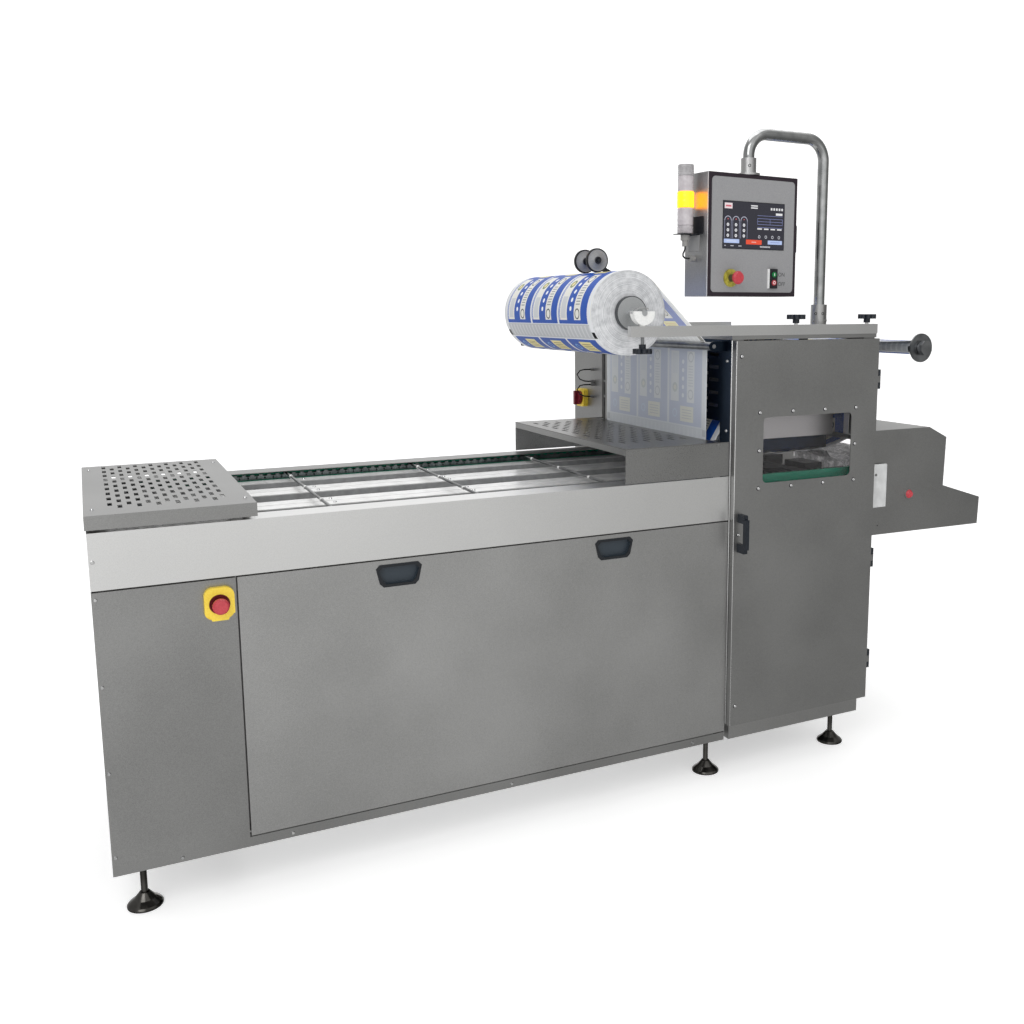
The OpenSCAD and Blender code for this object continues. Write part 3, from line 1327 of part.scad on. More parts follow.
// Outfeed chute: tapered side plates, sloping slide and joint plates
chute_x1 = tower_x1 + chute_len;
chute_y = -5;
chute_z0 = 715;
chute_fall = 5;
slide_end = 12;
chute_top = deck_z - sheet;
chute_tip_z = 802.6;
slide_z0 = beam_z1 - pan_d;
slide_z1 = 770;
tip_x = chute_x1 - slide_end + sheet;
tip_z = chute_z0 - panel_gap;
joint_w = 57;
joint_h = 138;
joint_t = 3;
joint_screw = [19, 35];
plate_screw = [39, 32];
module outfeed_chute() color("#70716f") {
  mirrored() {
    difference() {
      slab([[tower_x1 + panel_gap, chute_z0], [chute_x1 - panel_gap, chute_z0 - chute_fall], [chute_x1,
          chute_tip_z],
        [tower_x1 + pan_d, chute_top], [tower_x1 + panel_gap, chute_top]], chute_y, chute_y + sheet);
      rod_y(button_x, button_z, chute_y - cut, chute_y + sheet + cut, button_r + seat_gap);
    }
    translate([tower_x1 + 2 * panel_gap, chute_y, chute_top - joint_h - sheet]) rotate([90, 0, 0])
      linear_extrude(joint_t) union() {
        square([joint_w - pan_d, joint_h]);
        translate([0, pan_d / 2]) square([joint_w, joint_h - pan_d]);
        for (z = [pan_d / 2, joint_h - pan_d / 2])
          translate([joint_w - pan_d / 2, z]) circle(r = pan_d / 2);
        translate([joint_w - pan_d - cut, 0]) square([pan_d / 2 + cut, joint_h]);
      }
    front_screw(tower_x1 + joint_screw[0], chute_y - joint_t, chute_top - joint_screw[1]);
    front_screw(tower_x1 + plate_screw[0], chute_y, chute_z0 + plate_screw[1]);
  }
  slab([[tower_x1, slide_z0], [chute_x1 - slide_end, slide_z1], [chute_x1 - slide_end, slide_z1 - sheet],
      [tower_x1, slide_z0 - sheet]],
    sheet + seat_gap, depth - sheet - seat_gap);
  slab([[tower_x1, chute_z0], [tip_x, tip_z], [tip_x, tip_z + sheet], [tower_x1, chute_z0 + sheet]],
    chute_y + sheet, depth - chute_y - sheet);
  slab([[tip_x - sheet, tip_z], [tip_x, tip_z], [tip_x, slide_z1], [tip_x - sheet, slide_z1]],
    chute_y + sheet, depth - chute_y - sheet);
  translate([button_x, chute_y, button_z]) rotate([90, 0, 0]) difference() {
    cylinder(r = button_r + 2 * sheet, h = sheet);
    translate([0, 0, -cut]) cylinder(r = button_r + seat_gap, h = sheet + 2 * cut);
  }
}
button_out = 166;
button_x = tower_x1 + button_out;
button_z = 839;
button_r = 14;
module outfeed_button() color("#b03038")
  translate([button_x, chute_y - sheet - seat_gap, button_z]) rotate([90, 0, 0]) {
    cylinder(r1 = button_r, r2 = button_r * 0.6, h = button_r * 0.6);
    translate([0, 0, -sheet - seat_gap]) cylinder(r = button_r - 2 * sheet, h = 2 * sheet);
  }

// Mast: bent tube turning in the socket, carrying the control box
mast_z0 = cap_z1 + sheet + seat_gap;
down_z = box_z + box_h + sheet + cut;
module mast() color("#b6b8b8")
  translate([mast_x, mast_y, 0]) {
    rotate(180 + mast_turn) {
      translate([0, 0, mast_z0]) cylinder(r = mast_r, h = mast_z - bend_r - mast_z0);
      translate([bend_r, 0, mast_z - bend_r]) rotate([90, 0, 0]) rotate(90) rotate_extrude(angle = 90)
          translate([bend_r, 0]) circle(r = mast_r);
      translate([bend_r, 0, mast_z]) rotate([0, 90, 0]) cylinder(r = mast_r, h = mast_reach - 2 * bend_r);
      translate([mast_reach - bend_r, 0, mast_z - bend_r]) rotate([90, 0, 0]) rotate_extrude(angle = 90)
          translate([bend_r, 0]) circle(r = mast_r);
      translate([mast_reach, 0, down_z]) cylinder(r = mast_r, h = mast_z - bend_r - down_z);
    }
  }

// Control box and its collar, drawn about the mast's down leg
drop_x = mast_x - mast_reach * cos(mast_turn);
drop_y = mast_y - mast_reach * sin(mast_turn);
face_y = -28;
collar_r = 23;
collar_h = 50;
module on_box() {
  translate([drop_x, drop_y, 0]) rotate(box_turn) children();
}
module control_box() color("#97999a")
  on_box() {
    difference() {
      housing([-box_w / 2, face_y, box_z], [box_w / 2, face_y + box_d, box_z + box_h]);
      rod_y(panel_stop_x, panel_stop_z, face_y - cut, face_y + sheet + cut, estop_stem_r + run_gap);
    }
    translate([0, 0, box_z + box_h]) difference() {
      union() {
        cylinder(r = collar_r * 1.5, h = sheet * 3);
        cylinder(r = collar_r, h = collar_h);
      }
      translate([0, 0, sheet]) cylinder(r = mast_r + run_gap, h = collar_h);
    }
  }

// Faceplate with the screen bezel, on the front of the box
plate_t = 2;
plate_margin = 12;
screen_w = 235;
screen_h = 133;
screen_rise = 206;
start_rise = 65;
stop_rise = 41;
knob_rise = 53;
screen_z = box_z + screen_rise;
start_share = 0.2245;
start_x = box_w * start_share;
start_z = box_z + start_rise;
stop_z = box_z + stop_rise;
double_w = 30;
double_h = 58;
stop_share = 0.2536;
panel_stop_x = -box_w * stop_share;
panel_stop_z = box_z + knob_rise;
button_hole_r = 8;
module control_face() color("#8c8e8f")
  on_box()
    translate([0, face_y, box_z]) rotate([90, 0, 0]) difference() {
      union() {
        translate([0, box_h / 2]) linear_extrude(plate_t) round_rect(box_w - 2 * plate_margin,
            box_h - 2 * plate_margin, plate_margin);
        translate([-screen_w / 2 - plate_t, screen_z - box_z - screen_h / 2 - plate_t, plate_t])
          cube([screen_w + 2 * plate_t, screen_h + 2 * plate_t, plate_t / 2]);
        translate([start_x - double_w / 2, (start_z + stop_z) / 2 - box_z - double_h / 2, plate_t - cut])
          cube([double_w, double_h, 4 * plate_t]);
      }
      for (z = [start_z, stop_z])
        translate([start_x, z - box_z, plate_t]) cylinder(r = button_hole_r + run_gap, h = 5 * plate_t);
      translate([panel_stop_x, panel_stop_z - box_z, -cut]) cylinder(r = estop_stem_r + run_gap,
          h = 3 * plate_t);
    }
button_rest = 3;
module push_button(z) {
  on_box() translate([start_x, face_y - 2 * plate_t - button_rest, z]) rotate([90, 0, 0])
    cylinder(r = button_hole_r, h = plate_t + button_rest);
}
module start_button() color("#1f8a4c") push_button(start_z);
module stop_button() color("#c0322f") push_button(stop_z);
module panel_estop() color("#c23c44")
  on_box() translate([panel_stop_x, face_y + pan_d, panel_stop_z]) rotate([90, 0, 0]) estop_knob();

// Signal lamp: base ring, clear and yellow sections, cap
lamp_out = 34;
lamp_rise = 180;
lamp_x = -box_w / 2 - lamp_out;
lamp_y = 35;
lamp_z0 = box_z + lamp_rise;
lamp_shares = [0, 0.118, 0.379, 0.61, 0.841, 1];
lamp_h = 195;
lamp_rs = [0.98, 1, 1.02, 1, 0.96];
module signal_lamp() color("#d9d7cf")
  on_box() translate([lamp_x, lamp_y, lamp_z0])
    for (i = [0 : 4])
      translate([0, 0, lamp_shares[i] * lamp_h]) cylinder(r = lamp_r * lamp_rs[i],
          h = (lamp_shares[i + 1] - lamp_shares[i]) * lamp_h);

// Box fittings: lamp bracket and socket, lead plug, side handle
plug_rise = 110;
plug_z = box_z + plug_rise;
plug_r = 9;
ring_r = 26;
box_grip = 34;
bracket_w = 50;
connector_l = 34;
module box_fittings() color("#2a2c2f")
  on_box() {
    span([lamp_x - bracket_w / 2, lamp_y - bracket_w / 2, lamp_z0 - sheet], [-box_w / 2,
        lamp_y + bracket_w / 2, lamp_z0]);
    span([-box_w / 2 - sheet, lamp_y - bracket_w / 2, lamp_z0 - bracket_w], [-box_w / 2,
        lamp_y + bracket_w / 2, lamp_z0]);
    translate([lamp_x, lamp_y, lamp_z0 - sheet - connector_l]) {
      cylinder(r = plug_r, h = connector_l);
      translate([0, 0, connector_l / 2]) cylinder(r = plug_r * 1.5, h = connector_l / 2);
    }
    translate([-box_w / 2, lamp_y, plug_z]) rotate([0, -90, 0]) cylinder(r = plug_r, h = 2 * plug_r);
    translate([box_w / 2, face_y + box_d * 0.4, box_z + box_h / 2]) rotate(90) bridge_handle(handle_h,
        box_grip, handle_w * 1.4);
  }

// Yellow ring under the box's emergency stop
module panel_stop_ring() color("#e6cf3a")
  on_box() translate([panel_stop_x, face_y - plate_t, panel_stop_z]) rotate([90, 0, 0]) difference() {
    cylinder(r = ring_r, h = 2 * sheet);
    translate([0, 0, -cut]) cylinder(r = estop_stem_r + run_gap, h = 2 * sheet + 2 * cut);
  }

// Lamp lead from the lamp's connector to the plug on the box side
lamp_route = [[-34, 0, 144], [-34, 0, 137], [-37, 0, 130], [-41, 0, 123], [-41, 0, 116], [-35, 0, 111],
    [-27, 0, 110], [-18, 0, 110]];
module lamp_lead() color("#17191c")
  on_box() translate([-box_w / 2, lamp_y, box_z]) swept_tube(lamp_route, lead_r, lead_sides);

// The whole part stands with its origin under the middle of its footprint
module place() {
  translate([-origin_x, -origin_y, 0]) children();
}
place() base_frame();
place() fascia_band();
place() body_panels();
place() body_screws();
place() levelling_feet();
place() front_panel();
place() panel_handles();
place() base_estop();
place() infeed_cover();
place() chain_guides();
place() conveyor_chains();
place() drive_shaft();
place() tail_shaft();
place() drive_units();
place() tray_rails();
place() flight_rods();
place() tunnel_guard();
place() tower_frame();
place() tower_skins();
place() tower_top_plate();
place() electrical_cabinet();
place() cabinet_door();
place() switch_shrouds();
place() main_switch_handle();
place() sensor_leads();
place() upper_tool();
place() lower_tool();
place() tower_door();
place() door_window();
place() door_handle();
place() door_hinges();
place() arm_bars();
place() roll_cradles();
place() cradle_knob_front();
place() cradle_knob_rear();
place() bar_knob_left();
place() bar_knob_right();
place() film_roll();
place() roll_mandrel();
place() film_web();
place() idler_upper();
place() idler_lower();
place() film_brackets();
place() measuring_arm();
place() measuring_wheels();
place() rewinder_spindle();
place() waste_roll();
place() outfeed_hood();
place() outfeed_chute();
place() outfeed_button();
place() mast();
place() control_box();
place() control_face();
place() panel_estop();
place() start_button();
place() stop_button();
place() signal_lamp();
place() box_fittings();
place() panel_stop_ring();
place() lamp_lead();
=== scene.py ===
import math

import bmesh
import bpy
import numpy as np
from mathutils import Matrix, Vector


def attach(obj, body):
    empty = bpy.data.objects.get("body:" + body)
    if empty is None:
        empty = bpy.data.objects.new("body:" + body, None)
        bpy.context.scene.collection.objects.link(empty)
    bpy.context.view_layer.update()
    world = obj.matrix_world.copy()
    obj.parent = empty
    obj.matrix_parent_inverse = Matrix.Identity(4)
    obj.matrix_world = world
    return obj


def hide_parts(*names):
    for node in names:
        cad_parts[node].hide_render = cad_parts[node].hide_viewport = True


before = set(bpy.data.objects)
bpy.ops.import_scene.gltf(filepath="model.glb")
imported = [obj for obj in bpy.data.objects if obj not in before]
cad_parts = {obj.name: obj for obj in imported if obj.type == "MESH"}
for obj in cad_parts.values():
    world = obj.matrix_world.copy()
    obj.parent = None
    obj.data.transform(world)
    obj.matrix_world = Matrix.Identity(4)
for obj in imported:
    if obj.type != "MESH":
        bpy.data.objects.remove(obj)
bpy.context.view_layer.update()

# The camera stands before the infeed end at head height and looks across the machine
# towards the sealing tower. The lens is the photograph's, with its small shift.
lens_data = bpy.data.cameras.new("camera")
lens_data.sensor_width = 36.0
lens_data.lens = 35.574
lens_data.shift_x = -0.0722
lens_data.shift_y = -0.0447
lens_data.clip_end = 80
camera = bpy.data.objects.new("camera", lens_data)
camera.matrix_world = (
    Matrix.Translation((-1.3555, -2.9719, 1.4369))
    @ Matrix.Rotation(-0.4614, 4, "Z")
    @ Matrix.Rotation(math.pi / 2 - 0.1524, 4, "X")
    @ Matrix.Rotation(-0.0031, 4, "Z")
)
bpy.context.scene.collection.objects.link(camera)
bpy.context.scene.camera = camera
bpy.context.scene.view_settings.view_transform = "Standard"


# The studio: a white room whose front right quarter and lower part are dim. The steel faces
# mirror that quarter, and so they go from light at the infeed end to dark at the tower.
def linear(code):
    """Linear colour of an sRGB hex code: c / 12.92 up to 0.04045, else ((c + 0.055) / 1.055) ** 2.4."""
    channels = [int(code[i:i + 2], 16) / 255 for i in (1, 3, 5)]
    return [c / 12.92 if c <= 0.04045 else ((c + 0.055) / 1.055) ** 2.4 for c in channels] + [1.0]


def add(tree, kind, settings=None, inputs=None, stops=()):
    """A new node of this kind with its settings. An input given as a socket, or as a node, whose first live
    output it means, is linked, and any other is set. stops are a colour ramp's (place, hex colour) pairs."""
    made = tree.nodes.new(kind)
    for name, value in (settings or {}).items():
        setattr(made, name, value)
    for index, (place, code) in enumerate(stops):
        stop = made.color_ramp.elements[index] if index < 2 else made.color_ramp.elements.new(place)
        stop.position, stop.color = place, linear(code)
    for name, value in (inputs or {}).items():
        if isinstance(value, bpy.types.Node):
            value = next(socket for socket in value.outputs if socket.enabled)
        if isinstance(value, bpy.types.NodeSocket):
            tree.links.new(value, made.inputs[name])
        else:
            made.inputs[name].default_value = value
    return made


world = bpy.data.worlds.new("studio")
bpy.context.scene.world = world
world.use_nodes = True
room = world.node_tree
room.nodes.clear()
heading = add(room, "ShaderNodeTexCoord").outputs["Generated"]
dim_side = (0.95, -0.3, -0.05)
side = add(room, "ShaderNodeVectorMath", {"operation": "DOT_PRODUCT"}, {0: heading, 1: dim_side})
round_room = add(room, "ShaderNodeMapRange", inputs={"Value": side, "From Min": -1.0, "From Max": 1.0})
side_shade = add(room, "ShaderNodeValToRGB", inputs={"Fac": round_room}, stops=(
    (0.12, "#b4b4b4"), (0.28, "#f6f6f6"), (0.57, "#ffffff"), (0.64, "#dcdcdb"), (0.705, "#f7f7f6"),
    (0.80, "#e0e0df"), (0.855, "#b0b0af"), (0.905, "#acacab"), (0.94, "#8e8e8d"), (1.0, "#787877"),
))
upward = add(room, "ShaderNodeSeparateXYZ", inputs={"Vector": heading}).outputs["Z"]
height = add(room, "ShaderNodeMapRange", inputs={"Value": upward, "From Min": -1.0, "From Max": 1.0})
height_shade = add(room, "ShaderNodeValToRGB", inputs={"Fac": height}, stops=(
    (0.12, "#a4a4a4"), (0.28, "#cecece"), (0.40, "#ffffff"), (0.66, "#ffffff"), (1.0, "#d4d4d4"),
))
shade = add(room, "ShaderNodeMix", {"data_type": "RGBA", "blend_type": "MULTIPLY"}, {
    0: 1.0, 6: side_shade, 7: height_shade,
})
glow = add(room, "ShaderNodeBackground", inputs={"Color": shade, "Strength": 1.0})
add(room, "ShaderNodeOutputWorld", inputs={"Surface": glow})

for name, place, aim, size, watts in (
    ("key_light", (-3.2, -3.4, 4.2), (0, 0, 0.8), 3.0, 62),
    ("top_light", (0.6, 0.4, 4.6), (0.3, 0, 0.8), 3.4, 48),
):
    lamp_data = bpy.data.lights.new(name, "AREA")
    lamp_data.size = size
    lamp_data.energy = watts
    lamp = bpy.data.objects.new(name, lamp_data)
    lamp.location = place
    lamp.rotation_euler = (Vector(aim) - Vector(place)).to_track_quat("-Z", "Y").to_euler()
    bpy.context.scene.collection.objects.link(lamp)


# The floor sweeps up behind the machine into a wall, as a roll of lit studio paper does: a
# nearly white matt sheet that takes a soft shadow.
def grid_piece(name, points, materials, uv=None, wrap_u=False, wrap_v=False, smooth=True):
    """Quads over points[i, j] = (x, y, z), or over each grid of points[k, i, j]. Wrap joins the last row or
    column to the first, coincident points are merged and faces turned outwards. uv has one row or column
    more where that way wraps."""
    rows, columns = points.shape[-3:-1]
    i, j = np.meshgrid(np.arange(rows - (not wrap_u)), np.arange(columns - (not wrap_v)), indexing="ij")
    i, j = i.ravel(), j.ravel()
    k, m = (i + 1) % rows, (j + 1) % columns
    faces = np.stack([i * columns + j, k * columns + j, k * columns + m, i * columns + m], 1)
    grids = points.size // (3 * rows * columns)
    faces = (faces[None] + (np.arange(grids) * rows * columns)[:, None, None]).reshape(-1, 4)
    mesh = bpy.data.meshes.new(name)
    mesh.from_pydata(points.reshape(-1, 3), [], faces.tolist())
    mesh.polygons.foreach_set("use_smooth", np.full(len(faces), smooth))
    if uv is not None:
        wide = uv.shape[1]
        corner = np.stack([i * wide + j, (i + 1) * wide + j, (i + 1) * wide + j + 1, i * wide + j + 1], 1)
        mesh.uv_layers.new(name="UVMap").data.foreach_set("uv", uv.reshape(-1, 2)[corner.ravel()].ravel())
    solid = bmesh.new()
    solid.from_mesh(mesh)
    bmesh.ops.remove_doubles(solid, verts=solid.verts, dist=2e-6)
    bmesh.ops.recalc_face_normals(solid, faces=solid.faces)
    solid.to_mesh(mesh)
    solid.free()
    for material in materials:
        mesh.materials.append(material)
    piece = bpy.data.objects.new(name, mesh)
    bpy.context.scene.collection.objects.link(piece)
    return piece


def new_material(name):
    """An empty node material of this name, and its tree."""
    made = bpy.data.materials.new(name)
    made.use_nodes = True
    made.node_tree.nodes.clear()
    return made, made.node_tree


def finish_material(tree, inputs):
    """A principled shader with these inputs, joined to the material's output."""
    shader = add(tree, "ShaderNodeBsdfPrincipled", inputs=inputs)
    add(tree, "ShaderNodeOutputMaterial", inputs={"Surface": shader})


# studio paper: pale and matt, lit evenly, with a trace of unevenness
studio_paper, tree = new_material("studio_paper")
place = add(tree, "ShaderNodeTexCoord").outputs["Object"]
patches = add(tree, "ShaderNodeTexNoise", inputs={"Vector": place, "Scale": 1.3, "Detail": 3.0})
tone = add(tree, "ShaderNodeValToRGB", inputs={"Fac": patches}, stops=((0.3, "#f3f3f3"), (0.7, "#f9f9f9")))
finish_material(tree, {
    "Base Color": tone, "Roughness": 0.9, "Emission Color": tone, "Emission Strength": 0.5,
})

# level for 15 m, then a quarter round, then a wall, in metres
bend_radius, wall_height = 3.5, 7
run = np.linspace(0, 1, 64)
bend = np.clip((run - 0.6) / 0.25, 0, 1) * math.pi / 2
sweep_y = np.where(run < 0.6, -9 + run * 25, 6 + bend_radius * np.sin(bend))
sweep_z = bend_radius * (1 - np.cos(bend)) + np.clip((run - 0.85) / 0.15, 0, 1) * wall_height
across = np.linspace(-14, 16, 3)[:, None]
paper = np.stack(np.broadcast_arrays(across, sweep_y, sweep_z), 2)
floor = grid_piece("studio_floor", paper, [studio_paper])
# the steel mirrors the room and not the paper
floor.visible_glossy = False


# Ground stainless sheet: every cover, panel and door is folded from it. It is satin, with a
# fine mottled grain from the grinding belt and slow waves where the sheet is not quite flat.
middle_foot = np.array([1371.5, 507.0, 0.0])


def at(x, y, z):
    """Row-frame metres of places in millimetres from the infeed end, the front plane and the floor. The row
    frame starts on the floor under the machine's middle, middle_foot in those millimetres."""
    return (np.stack(np.broadcast_arrays(x, y, z), -1) - middle_foot) / 1000


def inked(tree, below, code, *spans):
    """The colour below, or this hex colour where every span's value lies from its low to its high."""
    mask = 1.0
    for value, low, high in spans:
        test = {0: value, 1: (low + high) / 2, 2: (high - low) / 2}
        inside = add(tree, "ShaderNodeMath", {"operation": "COMPARE"}, test)
        if mask != 1.0:
            inside = add(tree, "ShaderNodeMath", {"operation": "MULTIPLY"}, {0: mask, 1: inside})
        mask = inside
    return add(tree, "ShaderNodeMix", {"data_type": "RGBA"}, {0: mask, 6: below, 7: linear(code)})


def in_regions(tree, colour, regions):
    """The colour with other hex colours inside boxes, each given as (code, low corner, high corner) in mm."""
    if regions:
        place = add(tree, "ShaderNodeTexCoord").outputs["Object"]
        axes = add(tree, "ShaderNodeSeparateXYZ", inputs={"Vector": place}).outputs
    for code, low, high in regions:
        colour = inked(tree, colour, code, *zip(axes, at(*low).tolist(), at(*high).tolist()))
    return colour


def ground_steel(name, low, high, rough, grain=620.0, waves=0.10, regions=()):
    """Metal whose colour and roughness vary with two noises: a fine grain per metre and broad patches."""
    made, tree = new_material(name)
    place = add(tree, "ShaderNodeTexCoord").outputs["Object"]
    fine = add(tree, "ShaderNodeTexNoise", inputs={
        "Vector": place, "Scale": grain, "Detail": 2.0, "Roughness": 0.7,
    })
    broad = add(tree, "ShaderNodeTexNoise", inputs={"Vector": place, "Scale": 3.2, "Detail": 2.0})
    mottle = add(tree, "ShaderNodeMix", inputs={0: 0.35, 2: fine, 3: broad})
    colour = add(tree, "ShaderNodeValToRGB", inputs={"Fac": mottle}, stops=((0.36, low), (0.64, high)))
    satin = add(tree, "ShaderNodeMapRange", inputs={
        "Value": mottle, "From Min": 0.35, "From Max": 0.65, "To Min": rough - 0.05, "To Max": rough + 0.05,
    })
    dents = add(tree, "ShaderNodeBump", inputs={"Height": fine, "Strength": 0.05, "Distance": 0.0006})
    wave = add(tree, "ShaderNodeBump", inputs={
        "Height": broad, "Strength": waves, "Distance": 0.004, "Normal": dents,
    })
    colour = in_regions(tree, colour, regions)
    finish_material(tree, {"Base Color": colour, "Metallic": 1.0, "Roughness": satin, "Normal": wave})
    return made


def dress(material, *nodes):
    """Puts the material in every slot of these CAD nodes."""
    for node in nodes:
        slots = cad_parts[node].data.materials
        slots.clear()
        slots.append(material)


dress(ground_steel("panel_sheet_steel", "#949493", "#b3b3b2", 0.40), "body_panels")
dress(ground_steel("wide_panel_sheet_steel", "#a9a9a8", "#cacac9", 0.40), "front_panel")
# the band's sheet is painted much lighter than the panels', a painted reflection of the bright room
dress(ground_steel("band_sheet_steel", "#e6e6e5", "#f4f4f3", 0.36), "fascia_band")
dress(ground_steel("cover_sheet_steel", "#959594", "#b3b3b2", 0.38), "infeed_cover")
dress(ground_steel("guard_sheet_steel", "#8f8f8e", "#acacab", 0.30, regions=(
    ("#8b8a89", (1360, -10, 1050.6), (1722, 810, 1057)),
    ("#f2f2f1", (1360, 798, 950), (1722, 802, 1050.6)),
)), "tunnel_guard")
tower_sheet = ground_steel("tower_sheet_steel", "#979796", "#b3b3b2", 0.42)
dress(tower_sheet, "tower_door", "electrical_cabinet", "cabinet_door", "outfeed_hood")
# the chute's sheet under the hood is painted dark grey, a painted shade of the hood
dress(ground_steel("chute_sheet_steel", "#979796", "#b3b3b2", 0.42, regions=(
    ("#3b3b3b", (2256, 3, 760), (2560, 797, 890)),
)), "outfeed_chute")
# the skin's infeed plate is painted dark navy, a painted shade under the arm
dress(ground_steel("tower_skin_steel", "#979796", "#b3b3b2", 0.42, regions=(
    ("#3b4859", (1716, -5, 940), (1722, 185, 1356)),
)), "tower_skins")
dress(ground_steel("milled_arm_steel", "#d6d6d5", "#e6e6e5", 0.42, 900.0, 0.03), "arm_bars")
dress(ground_steel("milled_bracket_steel", "#a3a3a2", "#c2c2c1", 0.33, 900.0, 0.03, (
    ("#202a36", (1640, -5, 1290), (1719, 85, 1364)),
    ("#202a36", (1640, 715, 1290), (1719, 805, 1364)),
)), "film_brackets")
dress(ground_steel("welded_frame_steel", "#a3a3a2", "#c2c2c1", 0.33, 900.0, 0.03),
      "tower_top_plate", "tower_frame", "base_frame")


# Folded edges: the door and the tower's skin end in a rolled edge of a few millimetres that
# catches the light of the whole room, and its steel is painted far lighter than the door's sheet,
# a painted highlight; so the seam shows as two bright lines and a dark gap.
def stacked(outline, layers):
    """Rings (u, v, w): the outline scaled by layers[k][0] at depth w = layers[k][1]. A scale of 0 closes an
    end of an outline that lies round (0, 0)."""
    scale, depth = np.asarray(layers, float).T
    flat = scale[:, None, None] * np.asarray(outline, float)[None]
    return np.concatenate([flat, np.broadcast_to(depth[:, None, None], (*flat.shape[:2], 1))], 2)


def round_outline(radius, sides=32, turn=0.0):
    """Points (r cos a, r sin a) round a circle, or the corners of a polygon of that many sides."""
    angle = np.radians(turn) + np.arange(sides) * 2 * math.pi / sides
    return radius * np.stack([np.cos(angle), np.sin(angle)], 1)


# painted highlight: the edge's steel is far lighter than the door's own sheet
rolled_edge = ground_steel("rolled_edge_steel_painted_bright", "#dededd", "#f0f0ef", 0.26, 900.0, 0.02)
for name, body, x, y, radius, z0, z1 in (
    ("door_rolled_edge", "tower_door", 1721.6, -19.0, 2.6, 175.5, 1348.5),
    ("skin_rolled_edge", "machine", 1719.2, 1.2, 2.2, 176.0, 1351.0),
):
    rod = stacked(round_outline(radius, 16), [
        (0, z0), (0.8, z0), (1, z0 + 1), (1, z1 - 1), (0.8, z1), (0, z1),
    ])
    fold = grid_piece(name, at(x + rod[..., 0], y + rod[..., 1], rod[..., 2]), [rolled_edge], wrap_v=True)
    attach(fold, body)


# Turned and drawn stainless: feet, screws, rollers, rods and shafts, brighter than the sheet
# and with fine rings or lines from the lathe. The rails are drawn strips, polished by trays.
def turned_steel(name, low, high, rough, regions=(), metal=1.0):
    """Metal with lines a few tenths of a millimetre apart and slow changes of tone."""
    made, tree = new_material(name)
    place = add(tree, "ShaderNodeTexCoord").outputs["Object"]
    lines = add(tree, "ShaderNodeTexNoise", inputs={"Vector": place, "Scale": 1400.0, "Detail": 1.0})
    drift = add(tree, "ShaderNodeTexNoise", inputs={"Vector": place, "Scale": 26.0, "Detail": 2.0})
    colour = add(tree, "ShaderNodeValToRGB", inputs={"Fac": drift}, stops=((0.35, low), (0.65, high)))
    bump = add(tree, "ShaderNodeBump", inputs={"Height": lines, "Strength": 0.08, "Distance": 0.0002})
    colour = in_regions(tree, colour, regions)
    finish_material(tree, {"Base Color": colour, "Metallic": metal, "Roughness": rough, "Normal": bump})
    return made


polished = turned_steel("polished_tube_steel", "#d2d3d3", "#e6e6e6", 0.16)
dress(turned_steel("drawn_mast_steel", "#a4a6a6", "#bfc0c0", 0.12), "mast")
# the feet's steel is painted dark, a painted reflection of the dim room above the cones
dress(turned_steel("turned_foot_steel", "#474643", "#64625f", 0.18), "levelling_feet")
dress(turned_steel("screw_steel", "#c6c7c8", "#dddddd", 0.2), "body_screws")
dress(turned_steel("satin_roller_steel", "#7f8183", "#9fa1a3", 0.28),
      "drive_shaft", "tail_shaft", "idler_upper", "idler_lower", "rewinder_spindle")


# Moulded and machined plastics: green guide strips, navy knobs and handles, the white roll
# cradles, the red and yellow safety parts. Each has the soft sheen of a moulding.
def moulded(name, low, high, rough, speck=240.0, regions=()):
    """Plastic whose colour drifts between two tones over a few millimetres."""
    made, tree = new_material(name)
    place = add(tree, "ShaderNodeTexCoord").outputs["Object"]
    drift = add(tree, "ShaderNodeTexNoise", inputs={"Vector": place, "Scale": speck, "Detail": 3.0})
    colour = add(tree, "ShaderNodeValToRGB", inputs={"Fac": drift}, stops=((0.3, low), (0.7, high)))
    bump = add(tree, "ShaderNodeBump", inputs={"Height": drift, "Strength": 0.05, "Distance": 0.0004})
    colour = in_regions(tree, colour, regions)
    finish_material(tree, {"Base Color": colour, "Roughness": rough, "Normal": bump})
    return made


black_moulding = moulded("black_moulding", "#111318", "#1a1d24", 0.38)
dress(moulded("green_guide_plastic", "#0a8f70", "#12a580", 0.42), "chain_guides")
dress(moulded("navy_knob_nylon", "#131922", "#1e252e", 0.40),
      "door_handle", "door_hinges", "cradle_knob_front", "cradle_knob_rear",
      "bar_knob_left", "bar_knob_right", "measuring_arm")
dress(moulded("slate_handle_nylon", "#11151b", "#191e25", 0.45, regions=(
    ("#333d46", (600, 1.0, 700), (1450, 40, 850)),
)), "panel_handles")
dress(moulded("white_cradle_plastic", "#e3e4e2", "#efefed", 0.45, regions=(
    ("#77797b", (1400, -12, 1300), (1436, 12, 1364)),
    ("#77797b", (1400, 788, 1300), (1436, 812, 1364)),
)), "roll_cradles")
dress(moulded("red_stop_plastic", "#b83a44", "#c8464f", 0.34), "base_estop", "outfeed_button", "stop_button")
dress(moulded("yellow_shroud_plastic", "#f1cf3c", "#f8dc4e", 0.42), "switch_shrouds")
dress(moulded("dark_red_switch_plastic", "#6d1422", "#7e1c2b", 0.35), "main_switch_handle")
dress(moulded("green_button_plastic", "#14703c", "#1d8449", 0.3), "start_button")
dress(moulded("grey_drive_enamel", "#63676b", "#6d7175", 0.4), "drive_units")
dress(moulded("black_cable_sheath", "#15161a", "#1d1e22", 0.55), "lamp_lead")
dress(turned_steel("lead_sheath_and_conduit_steel", "#15161a", "#1d1e22", 0.3, regions=(
    ("#d8d8d8", (1720, 795, 940), (1760, 830, 1340)),
)), "sensor_leads")


